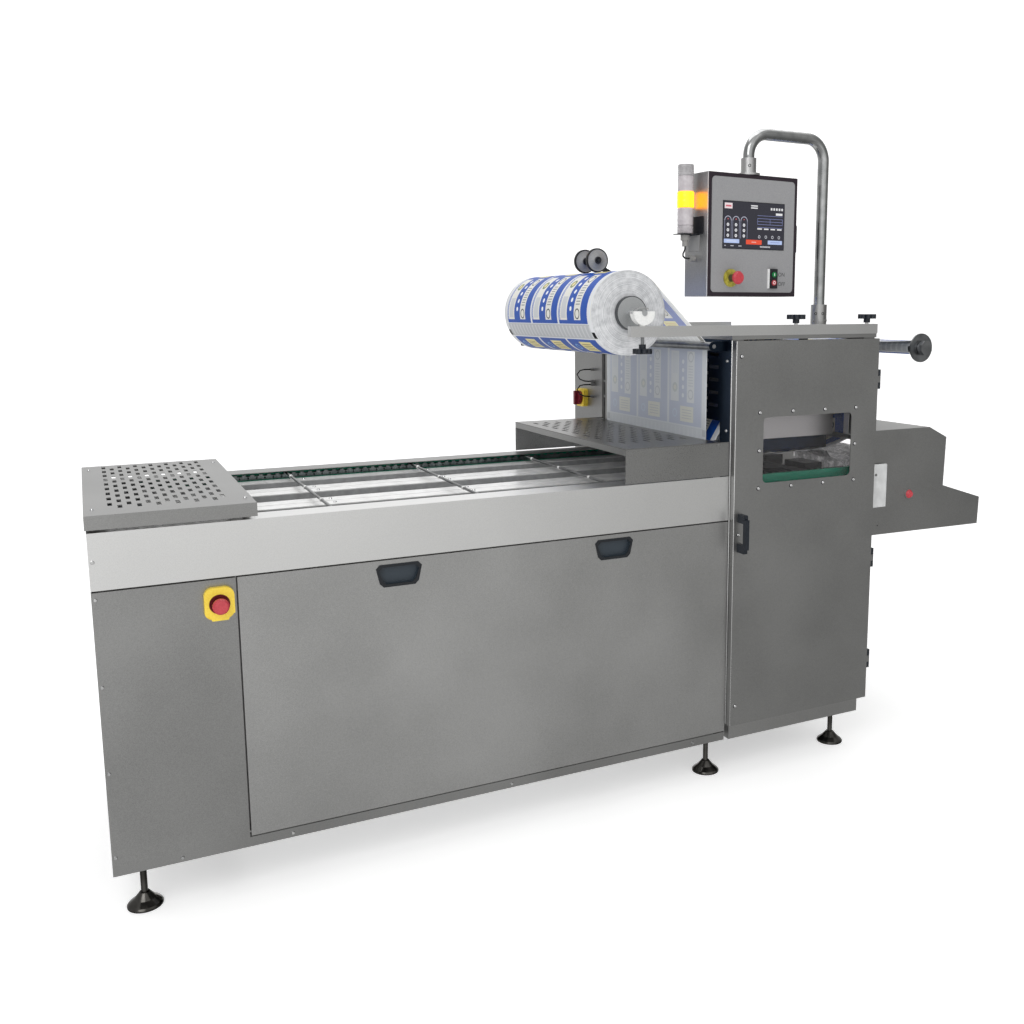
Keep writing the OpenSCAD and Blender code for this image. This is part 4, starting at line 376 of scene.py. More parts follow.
# Milled plates join the hood's sides to the tower and the chute. The near one has a bright,
# even face with one corner cut, drawn as a thin skin over the plate.
def capped(rings):
    """The rings with each end's middle as one more ring, which closes the surface there."""
    first, last = (ring.mean(1, keepdims=True) + 0 * ring for ring in (rings[:1], rings[-1:]))
    return np.concatenate([first, rings, last])


def slab(outline, low, high):
    """A flat plate (u, v, w): the outline from w = low to w = high, with both faces closed."""
    return capped(stacked(outline, [(1, low), (1, high)]))


plate_steel = turned_steel("milled_plate_steel", "#d3d4d4", "#e6e7e7", 0.45, metal=0.35)
face = slab([(-28, -70.5), (28, -70.5), (28, 66), (24, 70.5), (-28, 70.5)], 0.05, 0.6)
face = at(2294.5 + face[..., 0], -8.0 - face[..., 2], 877 + face[..., 1])
piece = grid_piece("joint_plate_face", face, [plate_steel], wrap_v=True, smooth=False)
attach(piece, "machine")


# The base's emergency stop sits in a dark red cup inside its yellow shroud, a moulded ring
# with a thin wall that the red head sinks into.
def about_axis(radii, along, centre, steps, start=0.0):
    """A turned surface: ring k has radius radii[k] at y = along[k] on the cross axis through centre (x, z).
    A point is (cx + r cos a, along, cz + r sin a), in millimetres."""
    angle = np.radians(start) + np.linspace(0, 2 * math.pi, steps, endpoint=False)[None, :]
    radii, along = np.asarray(radii, float)[:, None], np.asarray(along, float)[:, None] + 0 * angle
    return at(centre[0] + radii * np.cos(angle), along, centre[1] + radii * np.sin(angle))


cup_plastic = moulded("dark_red_cup_plastic", "#742c32", "#84363c", 0.4)
stop_centre = (270, 756)
cup_wall = np.array([(11.6, -2.2), (23.4, -2.2), (23.4, -13.2), (22.4, -13.2), (21.4, -3.6), (11.6, -3.6)])
cup = about_axis(*cup_wall.T, stop_centre, 48)
piece = grid_piece("stop_cup", cup, [cup_plastic], wrap_u=True, wrap_v=True)
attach(piece, "machine")

# Door window: clear polycarbonate, faintly grey, that mirrors the room a little. Domed
# stainless screws hold it and the door's stiffeners; a thin black ring round each head is painted shade.
pane, tree = new_material("clear_window_polycarbonate")
place = add(tree, "ShaderNodeTexCoord").outputs["Object"]
haze = add(tree, "ShaderNodeTexNoise", inputs={"Vector": place, "Scale": 14.0, "Detail": 3.0})
blur = add(tree, "ShaderNodeMapRange", inputs={"Value": haze, "To Min": 0.02, "To Max": 0.07})
finish_material(tree, {
    "Base Color": linear("#f6f4f5"), "Roughness": blur, "Transmission Weight": 1.0, "IOR": 1.3,
})
dress(pane, "door_window")

pane_screws = [(x, z) for z in (909, 1137) for x in (1807, 1928.7, 2050.3, 2172)]
pane_screws += [(1807, 1023), (2172, 1023)]
stiffener_screws = [(1738, 238), (1738, 774), (1738, 1304)]
spot_x, spot_z = np.array(pane_screws + stiffener_screws, float).T[:, :, None, None]
door_face_y = -21
domed = [(0, 2.7), (0.4, 2.7), (0.4, 4.2), (0.6, 4.1), (0.86, 3.7), (1, 3.0), (1, 0.4), (0, 0.4)]
# a thin black disc on the door face round each head: painted shade of a sunk seat
seat_shade_ring = [(0, 0.1), (1.3, 0.1), (1.3, 0.4), (0, 0.4)]
screw_head = turned_steel("polished_screw_steel", "#ececec", "#f8f8f8", 0.18)
for name, sides, layers, material in (
    ("door_screw_heads", 12, domed, screw_head),
    ("door_screw_shade_rings", 16, seat_shade_ring, black_moulding),
):
    head = stacked(round_outline(4.95, sides), layers)
    heads = at(spot_x + head[..., 0], door_face_y - head[..., 2], spot_z + head[..., 1])
    piece = grid_piece(name, heads, [material], wrap_v=True)
    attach(piece, "tower_door")


# The lidding film is wound on the roll with its print outwards: three lanes of blue frames
# with pale panels, rings and dots. It leaves the roll, drops behind the guard, passes
# through the tools and is wound up as waste. Seen from its back the print is muted.
def away(tree, x, y, centre):
    """The distance of the pattern's place (x, y) from a centre."""
    here = add(tree, "ShaderNodeCombineXYZ", inputs={"X": x, "Y": y})
    return add(tree, "ShaderNodeVectorMath", {"operation": "DISTANCE"}, {0: here, 1: (*centre, 0)})


def repeat(tree, value, pitch, start=0.0):
    """(value - start) modulo the pitch."""
    moved = add(tree, "ShaderNodeMath", {"operation": "SUBTRACT"}, {0: value, 1: start})
    return add(tree, "ShaderNodeMath", {"operation": "FLOORED_MODULO"}, {0: moved, 1: pitch})


def film_print(tree):
    """The printed colour: u is metres across from the front edge, v metres along since the film left the
    roll. Each cell of 290 mm is a grey band, a blue frame with tall pale panels, and patches below them."""
    uv = add(tree, "ShaderNodeSeparateXYZ", inputs={"Vector": add(tree, "ShaderNodeTexCoord").outputs["UV"]})
    u, v = uv.outputs["X"], uv.outputs["Y"]
    x, y = repeat(tree, u, 0.2, 0.02), repeat(tree, v, 0.29, 0.2212)
    lanes, panels = (u, 0.021, 0.619), (y, 0.058, 0.215)
    dots = away(tree, x, repeat(tree, y, 0.026), (0.113, 0.013))
    upper_disc, lower_disc = away(tree, x, y, (0.160, 0.172)), away(tree, x, y, (0.160, 0.252))
    lines = repeat(tree, y, 0.0085)
    colour = linear("#dfe1e4")
    for code, *spans in (
        ("#b9bcc0", (y, 0.0, 0.045), lanes),
        ("#cbcdd0", (repeat(tree, x, 0.025), 0.0, 0.009), (y, 0.004, 0.041), lanes),
        ("#004cae", (x, 0.006, 0.194), (y, 0.047, 0.286), lanes),
        ("#e2e1db", (x, 0.137, 0.184), panels),
        ("#e2e1db", (x, 0.048, 0.090), panels),
        ("#dfe7f2", (x, 0.187, 0.190), panels),
        ("#c9ccd0", (x, 0.145, 0.176), (y, 0.064, 0.128)),
        ("#eef1f5", (dots, 0.0, 0.0068), (y, 0.078, 0.208)),
        ("#7f8f6a", (upper_disc, 0.0, 0.015)),
        ("#e3d59b", (upper_disc, 0.0, 0.008)),
        ("#8d9298", (lines, 0.0, 0.0032), (x, 0.056, 0.082), (y, 0.102, 0.170)),
        ("#4a4f57", (away(tree, x, y, (0.069, 0.076)), 0.0115, 0.0155)),
        ("#4a4f57", (away(tree, x, y, (0.069, 0.190)), 0.0115, 0.0155)),
        ("#ece09a", (x, 0.052, 0.128), (y, 0.228, 0.276)),
        ("#8a7c52", (lines, 0.0, 0.003), (x, 0.062, 0.118), (y, 0.236, 0.268)),
        ("#6aa3dd", (lower_disc, 0.009, 0.014)),
        ("#17181c", (y, 0.001, 0.022), (u, 0.002, 0.021)),
        ("#17181c", (y, 0.001, 0.022), (u, 0.619, 0.638)),
    ):
        colour = inked(tree, colour, code, *spans)
    return colour


# printed film, print side: satin polyester film with faint creases from its tension
film_front, tree = new_material("printed_film_front")
place = add(tree, "ShaderNodeTexCoord").outputs["Object"]
creases = add(tree, "ShaderNodeTexNoise", inputs={"Vector": place, "Scale": 38.0, "Detail": 3.0})
crease = add(tree, "ShaderNodeBump", inputs={"Height": creases, "Strength": 0.12, "Distance": 0.002})
finish_material(tree, {
    "Base Color": film_print(tree), "Roughness": 0.4, "Specular IOR Level": 0.3, "Normal": crease,
})

# printed film seen from behind: the ink shows through a white coat, so all colours go grey;
# as far as the upper idler the film is painted cream and glows, painted light for daylight coming through it
film_back, tree = new_material("printed_film_back")
coordinates = add(tree, "ShaderNodeTexCoord").outputs
place = coordinates["Object"]
creases = add(tree, "ShaderNodeTexNoise", inputs={"Vector": place, "Scale": 20.0, "Detail": 4.0})
crease = add(tree, "ShaderNodeBump", inputs={"Height": creases, "Strength": 0.2, "Distance": 0.003})
unwound = add(tree, "ShaderNodeSeparateXYZ", inputs={"Vector": coordinates["UV"]}).outputs["Y"]
veil = add(tree, "ShaderNodeMapRange", inputs={
    "Value": unwound, "From Min": 0.250, "From Max": 0.256, "To Min": 0.30, "To Max": 0.80,
})
coat = add(tree, "ShaderNodeValToRGB", inputs={"Fac": veil}, stops=((0.3, "#fffdf4"), (0.8, "#ccd1d5")))
# painted glow: emission on the stretch before the upper idler stands in for light through the film
through_light_glow = add(tree, "ShaderNodeMapRange", inputs={
    "Value": veil, "From Min": 0.30, "From Max": 0.80, "To Min": 0.34, "To Max": 0.0,
})
muted = add(tree, "ShaderNodeMix", {"data_type": "RGBA"}, {0: veil, 6: film_print(tree), 7: coat})
finish_material(tree, {
    "Base Color": muted, "Roughness": 0.34, "Normal": crease,
    "Emission Color": muted, "Emission Strength": through_light_glow,
})


def from_axis(tree, place, centre):
    """The distance in metres of a place from the cross axis through centre (x, z), in machine millimetres."""
    flat = add(tree, "ShaderNodeVectorMath", {"operation": "MULTIPLY"}, {0: place, 1: (1, 0, 1)})
    middle = (at(centre[0], 0, centre[1]) * (1, 0, 1)).tolist()
    return add(tree, "ShaderNodeVectorMath", {"operation": "DISTANCE"}, {0: flat, 1: middle})


# wound film from the side: hundreds of edges that show as faint rings, slightly uneven
roll_axis = (1418, 1430)
film_side, tree = new_material("wound_film_side")
place = add(tree, "ShaderNodeTexCoord").outputs["Object"]
rings = add(tree, "ShaderNodeTexNoise", {"noise_dimensions": "1D"}, {
    "W": from_axis(tree, place, roll_axis), "Scale": 420.0, "Detail": 3.0, "Roughness": 0.7,
})
cloud = add(tree, "ShaderNodeTexNoise", inputs={"Vector": place, "Scale": 60.0, "Detail": 3.0})
layered = add(tree, "ShaderNodeMix", inputs={0: 0.4, 2: rings, 3: cloud})
tone = add(tree, "ShaderNodeValToRGB", inputs={"Fac": layered}, stops=((0.38, "#b5b7ba"), (0.62, "#e9eaec")))
groove = add(tree, "ShaderNodeBump", inputs={"Height": rings, "Strength": 0.4, "Distance": 0.0015})
finish_material(tree, {"Base Color": tone, "Roughness": 0.42, "Normal": groove})


def slant(one, other, offset):
    """The angle from level, in degrees, of a line that touches circles round the points one and other:
    atan(rise / run) + asin(offset / distance), with offset the difference or the sum of their radii."""
    run, rise = abs(other[0] - one[0]), abs(other[1] - one[1])
    return math.degrees(math.atan2(rise, run) + math.asin(offset / math.hypot(run, rise)))


# the film's edges across the machine, and the angle round the roll at which it leaves for the upper idler
film_front_y, film_rear_y = 80, 720
upper_idler, idler_reach, roll_reach = (1672, 1333), 12.7, 120.7
leave = 90 - slant(roll_axis, upper_idler, roll_reach - idler_reach)


def wound_roll(name, centre, front, rear, radius, core, steps):
    """A roll of film: a closed ring whose outer skin bears the print, with slightly dished side faces. The
    skin's v falls with the angle from the place where the film leaves, as its length does."""
    side = np.linspace(radius, core, 14)
    dish = 1.2 * np.abs(np.sin(side * 0.37)) * (side < radius - 1) * (side > core + 1)
    width = np.linspace(front, rear, 25)[1:-1]
    radii = np.concatenate([side[::-1], np.full(23, radius), side, np.full(23, core)])
    along = np.concatenate([front + dish[::-1], width, rear - dish, width[::-1]])
    points = about_axis(radii, along, centre, steps, leave)
    turn = -np.linspace(0, 2 * math.pi * radius / 1000, steps + 1)
    across = (np.append(along, along[0]) - film_front_y) / 1000
    uv = np.stack(np.broadcast_arrays(across[:, None], turn[None, :]), -1)
    roll = grid_piece(name, points, [film_side, film_front], uv, wrap_u=True, wrap_v=True)
    middles = np.zeros(len(roll.data.polygons) * 3)
    roll.data.polygons.foreach_get("center", middles)
    outwards = (middles.reshape(-1, 3) - at(centre[0], 0, centre[1])) * 1000
    skin = np.hypot(outwards[:, 0], outwards[:, 2]) > radius * 0.997
    roll.data.polygons.foreach_set("material_index", skin.astype(np.int32))
    return roll


film_roll = wound_roll(
    "film_roll_print", roll_axis, film_front_y + 0.2, film_rear_y - 0.2, radius=120, core=39, steps=192,
)
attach(film_roll, "film_roll")
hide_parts("film_roll")
waste_axis = (2516, 1312)
waste = wound_roll("waste_roll_print", waste_axis, 69.2, 721.8, radius=22.5, core=11.05, steps=72)
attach(waste, "rewinder")
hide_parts("waste_roll")


# The film web between the rolls: tight over the idlers and turning bars, with a light
# crumple between the tools where each stroke stretches it.
def arc(x, z, radius, start, end, steps):
    """Points (x + r cos a, z + r sin a) with a from start to end, in degrees."""
    angle = np.radians(np.linspace(start, end, steps))
    return np.stack([x + radius * np.cos(angle), z + radius * np.sin(angle)], 1)


def run_length(line):
    """The length along a line of points (x, z) up to each one: the running sum of the gaps between them."""
    return np.concatenate([[0], np.cumsum(np.hypot(*np.diff(line, axis=0).T))])


def resampled(line, lengths):
    """The places at these lengths along a line of points (x, z)."""
    return np.stack([np.interp(lengths, run_length(line), line[:, axis]) for axis in (0, 1)], 1)


def film_strip(name, track, lift, front, rear, half, uv_start, materials):
    """A sheet on both sides of its centre line track[k] = (x, z), lifted by lift[k, m] mm square to it at the
    m-th place across, from y = front to rear, with closed ends; its back takes the second material."""
    wide = np.linspace(front, rear, lift.shape[1])[None, :]
    ahead = np.gradient(track, axis=0)
    ahead /= np.hypot(*ahead.T)[:, None]
    top, under = (
        at(track[:, :1] - ahead[:, 1:] * off, wide, track[:, 1:] + ahead[:, :1] * off)
        for off in (lift + half, lift - half)
    )
    length = run_length(track) / 1000
    uv = np.stack(np.broadcast_arrays((wide - film_front_y) / 1000, length[:, None] + uv_start), -1)
    around = np.concatenate([top, under[:, ::-1]], 1)
    around_uv = np.concatenate([uv, uv[:, ::-1], uv[:, :1]], 1)
    strip = grid_piece(name, around, materials, around_uv, wrap_v=True)
    ends = bmesh.new()
    ends.from_mesh(strip.data)
    bmesh.ops.holes_fill(ends, edges=ends.edges, sides=0)
    bmesh.ops.recalc_face_normals(ends, faces=ends.faces)
    ends.to_mesh(strip.data)
    ends.free()
    columns = around.shape[1]
    is_back = np.tile(np.arange(columns) >= columns // 2, len(track) - 1)
    index = np.zeros(len(strip.data.polygons), np.int32)
    index[:len(is_back)] = is_back
    strip.data.polygons.foreach_set("material_index", index)
    return strip, float(length[-1])


# the track lies on the roll for its first 6 degrees, which are on_roll metres; from the lower idler it rises
# to the first turning bar on the line that crosses between them, and it ends on top of the waste roll
on_roll = 0.0126
lower_idler, turning_bar, bar_reach = (1697.4, 1038), (1760, 1098), 8.7
climb = slant(lower_idler, turning_bar, idler_reach + bar_reach)
track = np.concatenate([
    arc(*roll_axis, roll_reach, leave + 6, leave, 4),
    arc(*upper_idler, idler_reach, leave, 0, 9),
    arc(*lower_idler, idler_reach, 180, 270 + climb, 12),
    arc(*turning_bar, bar_reach, 90 + climb, 0, 12),
    [(1775, 1012), (1789, 1000), (1970, 992), (2145, 996)],
    arc(2225, 1032, bar_reach, 290, 360, 6),
    arc(2243, 1325.8, bar_reach, 180, 90, 8),
    [(waste_axis[0], waste_axis[1] + 23.2)],
])
step = run_length(track)
track = resampled(track, np.unique(np.concatenate([step, np.arange(0, step[-1], 7.0)])))
x, y = track[:, :1], np.linspace(film_front_y, film_rear_y, 93)[None, :]
at_tools = np.clip((x - 1800) / 120, 0, 1) * np.clip((2205 - x) / 40, 0, 1) * (track[:, 1:] < 1030)
crumple = 2.4 * (1 + np.sin(x / 11.0 + 1.6 * np.sin(y / 23.0)) * np.cos(y / 17.0 + x / 29.0))
web, web_length = film_strip(
    "film_web_print", track, at_tools * crumple, film_front_y, film_rear_y,
    half=0.35, uv_start=-on_roll, materials=[film_front, film_back],
)
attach(web, "machine")
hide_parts("film_web")

# The skeleton of film round the sealed trays runs from the tool over a round bar in the hood
# and hangs down to the slide, with hundreds of small creases that catch the light through their bumps and
# carry painted highlights.
slack_film, tree = new_material("creased_slack_film")
place = add(tree, "ShaderNodeTexCoord").outputs["Object"]
creases = add(tree, "ShaderNodeTexNoise", inputs={
    "Vector": place, "Scale": 46.0, "Detail": 5.0, "Roughness": 0.66, "Distortion": 0.9,
})
crease = add(tree, "ShaderNodeBump", inputs={"Height": creases, "Strength": 0.9, "Distance": 0.008})
# painted light: the crease noise is ramped to light glints; in the tool the film is painted dim, a painted
# shade, and past it painted lit
dim = add(tree, "ShaderNodeValToRGB", inputs={"Fac": creases}, stops=(
    (0.40, "#4e4f51"), (0.60, "#7d7e80"), (0.70, "#c2c2c2"),
))
lit = add(tree, "ShaderNodeValToRGB", inputs={"Fac": creases}, stops=(
    (0.38, "#9a9a9b"), (0.52, "#bdbdbe"), (0.64, "#ffffff"),
))
along = add(tree, "ShaderNodeSeparateXYZ", inputs={"Vector": place}).outputs["X"]
past_tool = add(tree, "ShaderNodeMapRange", inputs={"Value": along, "From Min": 0.72, "From Max": 0.88})
tone = add(tree, "ShaderNodeMix", {"data_type": "RGBA"}, {0: past_tool, 6: dim, 7: lit})
# a painted glow on the film past the tool
glow = add(tree, "ShaderNodeMapRange", inputs={"Value": past_tool, "To Min": 0.0, "To Max": 0.16})
finish_material(tree, {
    "Base Color": tone, "Roughness": 0.3, "Specular IOR Level": 0.35,
    "Emission Color": tone, "Emission Strength": glow, "Normal": crease,
})

# its route as (x, z): off the tool, level to the bar, round it and down to the slide
corners = np.array([
    (2149, 989), (2154, 981), (2164, 971), (2180, 963), (2206, 957), (2246, 954), (2320, 954), (2420, 954),
    (2500, 954), (2507, 952), (2511, 947), (2513, 930), (2516, 870), (2521, 822), (2530, 803), (2545, 794),
    (2570, 785),
], float)
fall = resampled(corners, np.linspace(0, run_length(corners)[-1], 180))
slack_front_y, slack_rear_y = film_front_y + 4, film_rear_y - 4
x, y = fall[:, :1], np.linspace(slack_front_y, slack_rear_y, 120)[None, :]
loose = np.clip((x - 2156) / 30, 0, 1) * np.clip((2560 - x) / 20, 0.3, 1)
ripple = 2.6 * loose * np.sin(x / 9.0 + 2.1 * np.sin(y / 31.0)) * np.cos(y / 13.0 + x / 21.0)
inwards = y - slack_front_y
narrow_hem, wide_hem = 5.0 * loose * np.exp(-inwards / 18), 26.0 * np.exp(-inwards / 70)
hem = np.clip((2490 - x) / 60, 0, 1) * (narrow_hem + np.clip((x - 2262) / 60, 0, 1) * wide_hem)
slack, slack_length = film_strip(
    "slack_film_skeleton", fall, ripple - hem, slack_front_y, slack_rear_y,
    half=0.3, uv_start=0.0, materials=[slack_film, slack_film],
)
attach(slack, "machine")
hood_bar_axis = (2504.5, 945.5)
hood_bar = about_axis([0, 5, 5, 0], [2.2, 2.2, 797.8, 797.8], hood_bar_axis, 24)
piece = grid_piece("hood_film_bar", hood_bar, [polished], wrap_v=True)
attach(piece, "machine")

# Mandrel, measuring wheels and latches of the roll: the discs are turned steel with a darker
# rim, the wheels grey with a black tyre, and a bent strap locks each journal.
mandrel_steel, tree = new_material("turned_mandrel_steel")
place = add(tree, "ShaderNodeTexCoord").outputs["Object"]
turned = add(tree, "ShaderNodeTexNoise", inputs={"Vector": place, "Scale": 1400.0, "Detail": 1.0})
tone = add(tree, "ShaderNodeValToRGB", inputs={"Fac": turned}, stops=((0.35, "#b4b6b7"), (0.65, "#c6c8c9")))
tone = inked(tree, tone, "#55585b", (from_axis(tree, place, roll_axis), 0.0455, 0.060))
bump = add(tree, "ShaderNodeBump", inputs={"Height": turned, "Strength": 0.08, "Distance": 0.0002})
finish_material(tree, {"Base Color": tone, "Metallic": 0.7, "Roughness": 0.42, "Normal": bump})
dress(mandrel_steel, "roll_mandrel")

wheel_axis = (1418, 1585.8)
wheel_plastic, tree = new_material("grey_wheel_with_rubber_tyre")
place = add(tree, "ShaderNodeTexCoord").outputs["Object"]
radius = from_axis(tree, place, wheel_axis)
drift = add(tree, "ShaderNodeTexNoise", inputs={"Vector": place, "Scale": 300.0, "Detail": 2.0})
tone = add(tree, "ShaderNodeValToRGB", inputs={"Fac": drift}, stops=((0.3, "#8f9092"), (0.7, "#a2a3a5")))
tone = inked(tree, tone, "#16171a", (radius, 0.0318, 0.050))
tone = inked(tree, tone, "#20222a", (radius, 0.0, 0.0115))
tone = inked(tree, tone, "#8a8b8e", (radius, 0.0106, 0.0125))
finish_material(tree, {"Base Color": tone, "Roughness": 0.4})

# half a wheel from its axle to the tyre's crown, as (radius, half width)
half_wheel = np.array([
    (0, 9.6), (6, 9.6), (6, 9.9), (10.4, 9.9), (10.5, 6.5), (12.6, 6.5),
    (12.7, 3.4), (30, 3.4), (31.6, 3.4), (32, 4.9), (34.6, 5), (35.5, 4.2),
])
radii, depths = np.concatenate([half_wheel * (1, -1), half_wheel[::-1]]).T
wheels = np.stack([about_axis(radii, depths + y, wheel_axis, 72) for y in (277, 357)])
wheel_pair = grid_piece("measuring_wheel_pair", wheels, [wheel_plastic], wrap_v=True)
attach(wheel_pair, "measuring_wheels")
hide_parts("measuring_wheels")

strap_line = np.array([
    (1383, 1430), (1387, 1434), (1398, 1442), (1408, 1445.5), (1420, 1445.5), (1430, 1443.5), (1434, 1440.5),
])
along = np.gradient(strap_line, axis=0)
square = np.stack([-along[:, 1], along[:, 0]], 1) / np.hypot(*along.T)[:, None]
across, thick = np.array([(-5.5, -1.2), (5.5, -1.2), (5.5, 1.2), (-5.5, 1.2)]).T
strap = strap_line[:, None] + square[:, None] * thick[:, None]
strap = capped(np.stack([strap[..., 0], np.broadcast_to(across, strap.shape[:2]), strap[..., 1]], 2))
straps = np.stack([at(strap[..., 0], middle + strap[..., 1], strap[..., 2]) for middle in (0, 800)])
latch = grid_piece("journal_latch_straps", straps, [polished], wrap_v=True, smooth=False)
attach(latch, "machine")

# Conveyor: steel link chains with gripper lugs run in the green guides, and polished strips
# carry the trays between them. Round rods with small collars push the trays along.
# the rails under the hood are painted dark, a painted shade of the hood
rail_steel = turned_steel("polished_rail_steel", "#e9e9e8", "#fafaf9", 0.26, (
    ("#474849", (2180, 70, 880), (2262, 730, 926)),
), 0.3)
dress(rail_steel, "tray_rails")
dress(turned_steel("drawn_rod_steel", "#6b6c6d", "#868788", 0.3), "flight_rods")
chain_steel = turned_steel("oiled_chain_steel", "#6a6e70", "#8d9193", 0.36)

chain_lanes, link_pitch = (45, 755), 25
tail_x, drive_x, shaft_z, chain_reach = 90, 2170, 879.5, 50.5
straight, half_turn = drive_x - tail_x, math.pi * chain_reach
loop = 2 * (straight + half_turn)
links = round(loop / link_pitch)
s = np.arange(links) * loop / links
bow = np.clip((s - straight) / chain_reach, 0, math.pi)
bow += np.clip((s - 2 * straight - half_turn) / chain_reach, 0, math.pi)
base_x = tail_x + np.clip(s, 0, straight) - np.clip(s - straight - half_turn, 0, straight)
link_x = base_x + chain_reach * np.sin(bow)
link_z = shaft_z + chain_reach * np.cos(bow)


def on_links(grid, lanes):
    """A grid of (u along, v outwards, w across) carried to every link of the chains in these lanes:
    x = X + u cos b + v sin b and z = Z - u sin b + v cos b, with b the turn of the link."""
    u, v, w = (grid[None, None, ..., axis] for axis in range(3))
    b, x, z = (value[None, :, None, None] for value in (bow, link_x, link_z))
    y = np.array(lanes)[:, None, None, None]
    carried = at(x + u * np.cos(b) + v * np.sin(b), y + w, z - u * np.sin(b) + v * np.cos(b))
    return carried.reshape(-1, *grid.shape)


plate = slab([
    (-15, 0), (-13, -4), (-9, -5.6), (0, -4.6), (9, -5.6), (13, -4),
    (15, 0), (13, 4), (9, 5.6), (0, 4.6), (-9, 5.6), (-13, 4),
], -1, 1)
roller = slab(round_outline(5, 8, 22.5), -4.2, 4.2)
lug = slab([(-6, 4.5), (6, 4.5), (5, 10.5), (-5, 10.5)], -1.3, 1.3)
chain_parts = {
    "chain_link_plates": [on_links(plate + (0, 0, w), chain_lanes) for w in (-8.0, -5.4, 5.4, 8.0)],
    "chain_rollers": [on_links(roller, chain_lanes)],
    "chain_gripper_lugs": [on_links(lug + (0, 0, w), (lane,)) for lane, w in zip(chain_lanes, (8.0, -8.0))],
}
for name, grids in chain_parts.items():
    piece = grid_piece(name, np.concatenate(grids), [chain_steel], wrap_v=True, smooth=False)
    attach(piece, "machine")
    if name == "chain_link_plates":
        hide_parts("conveyor_chains")

collar = stacked(round_outline(5.6, 14), [(0, -5), (0.86, -5), (1, -4), (1, 4), (0.86, 5), (0, 5)])
rod_x, collar_y = np.meshgrid(167 + 400 * np.arange(5), (231, 447, 663))
rod_x, collar_y = rod_x.ravel()[:, None, None], collar_y.ravel()[:, None, None]
collars = at(rod_x + collar[..., 0], collar_y + collar[..., 2], 940.3 + collar[..., 1])
rod_collars = grid_piece("flight_rod_collars", collars, [rail_steel], wrap_v=True)
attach(rod_collars, "flights")

# Lane liners: a grey plastic strip on the inner face of each lane's rear rail, on which the
# tray's edge slides quietly.
liner_plastic = moulded("grey_liner_plastic", "#8f9091", "#a0a1a2", 0.4, 60.0)
strip = slab([(150.5, -15), (1774.5, -15), (1774.5, 15), (150.5, 15)], 0.1, 0.9)
rail_y = np.array([237, 453, 669])[:, None, None]
liners = at(strip[..., 0], rail_y - strip[..., 2], 907.5 + strip[..., 1])
piece = grid_piece("lane_liners", liners, [liner_plastic], wrap_v=True, smooth=False)
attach(piece, "machine")

# Sealing tools: the upper housing is light bead-blasted aluminium over a seal frame painted near-black,
# partly its own dark colour and partly painted shade, and the lower tool is a dark cast plate.
dress(turned_steel("blasted_tool_aluminium_over_dark_shaded_frame", "#101928", "#1c2637", 0.42, regions=(
    ("#b0b0b0", (1780, 40, 1044), (2170, 760, 1300)),
)), "upper_tool")
dress(turned_steel("dark_tool_aluminium", "#24282d", "#353a3f", 0.4), "lower_tool")

# Control box: a folded steel case with a dark painted front, a grey overlay with rounded
# corners, a touch screen, an on and off block and a red emergency stop on a ring.
mast_drop, box_turn = (1829.3, 93.9), math.radians(5.5)
box_front_y, box_left_x = -28, -171.5


def on_box(x, y, z):
    """Row-frame metres of places in the box's own millimetres from the mast's drop: x right, y back, z up."""
    along, aside = math.cos(box_turn), math.sin(box_turn)
    return at(mast_drop[0] + x * along - y * aside, mast_drop[1] + x * aside + y * along, z)


def box_depth(tree, place):
    """How far a place lies behind the front of the box, in metres."""
    back = (-math.sin(box_turn), math.cos(box_turn), 0.0)
    front = float(on_box(0, box_front_y, 1500) @ np.array(back))
    depth = add(tree, "ShaderNodeVectorMath", {"operation": "DOT_PRODUCT"}, {0: place, 1: back})
    return add(tree, "ShaderNodeMath", {"operation": "SUBTRACT"}, {0: depth, 1: front})


box_steel, tree = new_material("box_steel_with_dark_front_paint")
place = add(tree, "ShaderNodeTexCoord").outputs["Object"]
grain = add(tree, "ShaderNodeTexNoise", inputs={"Vector": place, "Scale": 700.0, "Detail": 2.0})
tone = add(tree, "ShaderNodeValToRGB", inputs={"Fac": grain}, stops=((0.36, "#b6b6b6"), (0.64, "#cfcfcf")))
height = add(tree, "ShaderNodeSeparateXYZ", inputs={"Vector": place}).outputs["Z"]
below_top = add(tree, "ShaderNodeMath", {"operation": "LESS_THAN"}, {0: height, 1: 1.8312})
painted = add(tree, "ShaderNodeMath", {"operation": "LESS_THAN"}, {0: box_depth(tree, place), 1: 0.0006})
painted = add(tree, "ShaderNodeMath", {"operation": "MULTIPLY"}, {0: painted, 1: below_top})
tone = add(tree, "ShaderNodeMix", {"data_type": "RGBA"}, {0: painted, 6: tone, 7: linear("#2a2029")})
metal = add(tree, "ShaderNodeMapRange", inputs={"Value": painted, "To Min": 1.0, "To Max": 0.0})
bump = add(tree, "ShaderNodeBump", inputs={"Height": grain, "Strength": 0.05, "Distance": 0.0006})
finish_material(tree, {"Base Color": tone, "Metallic": metal, "Roughness": 0.36, "Normal": bump})
dress(box_steel, "control_box")

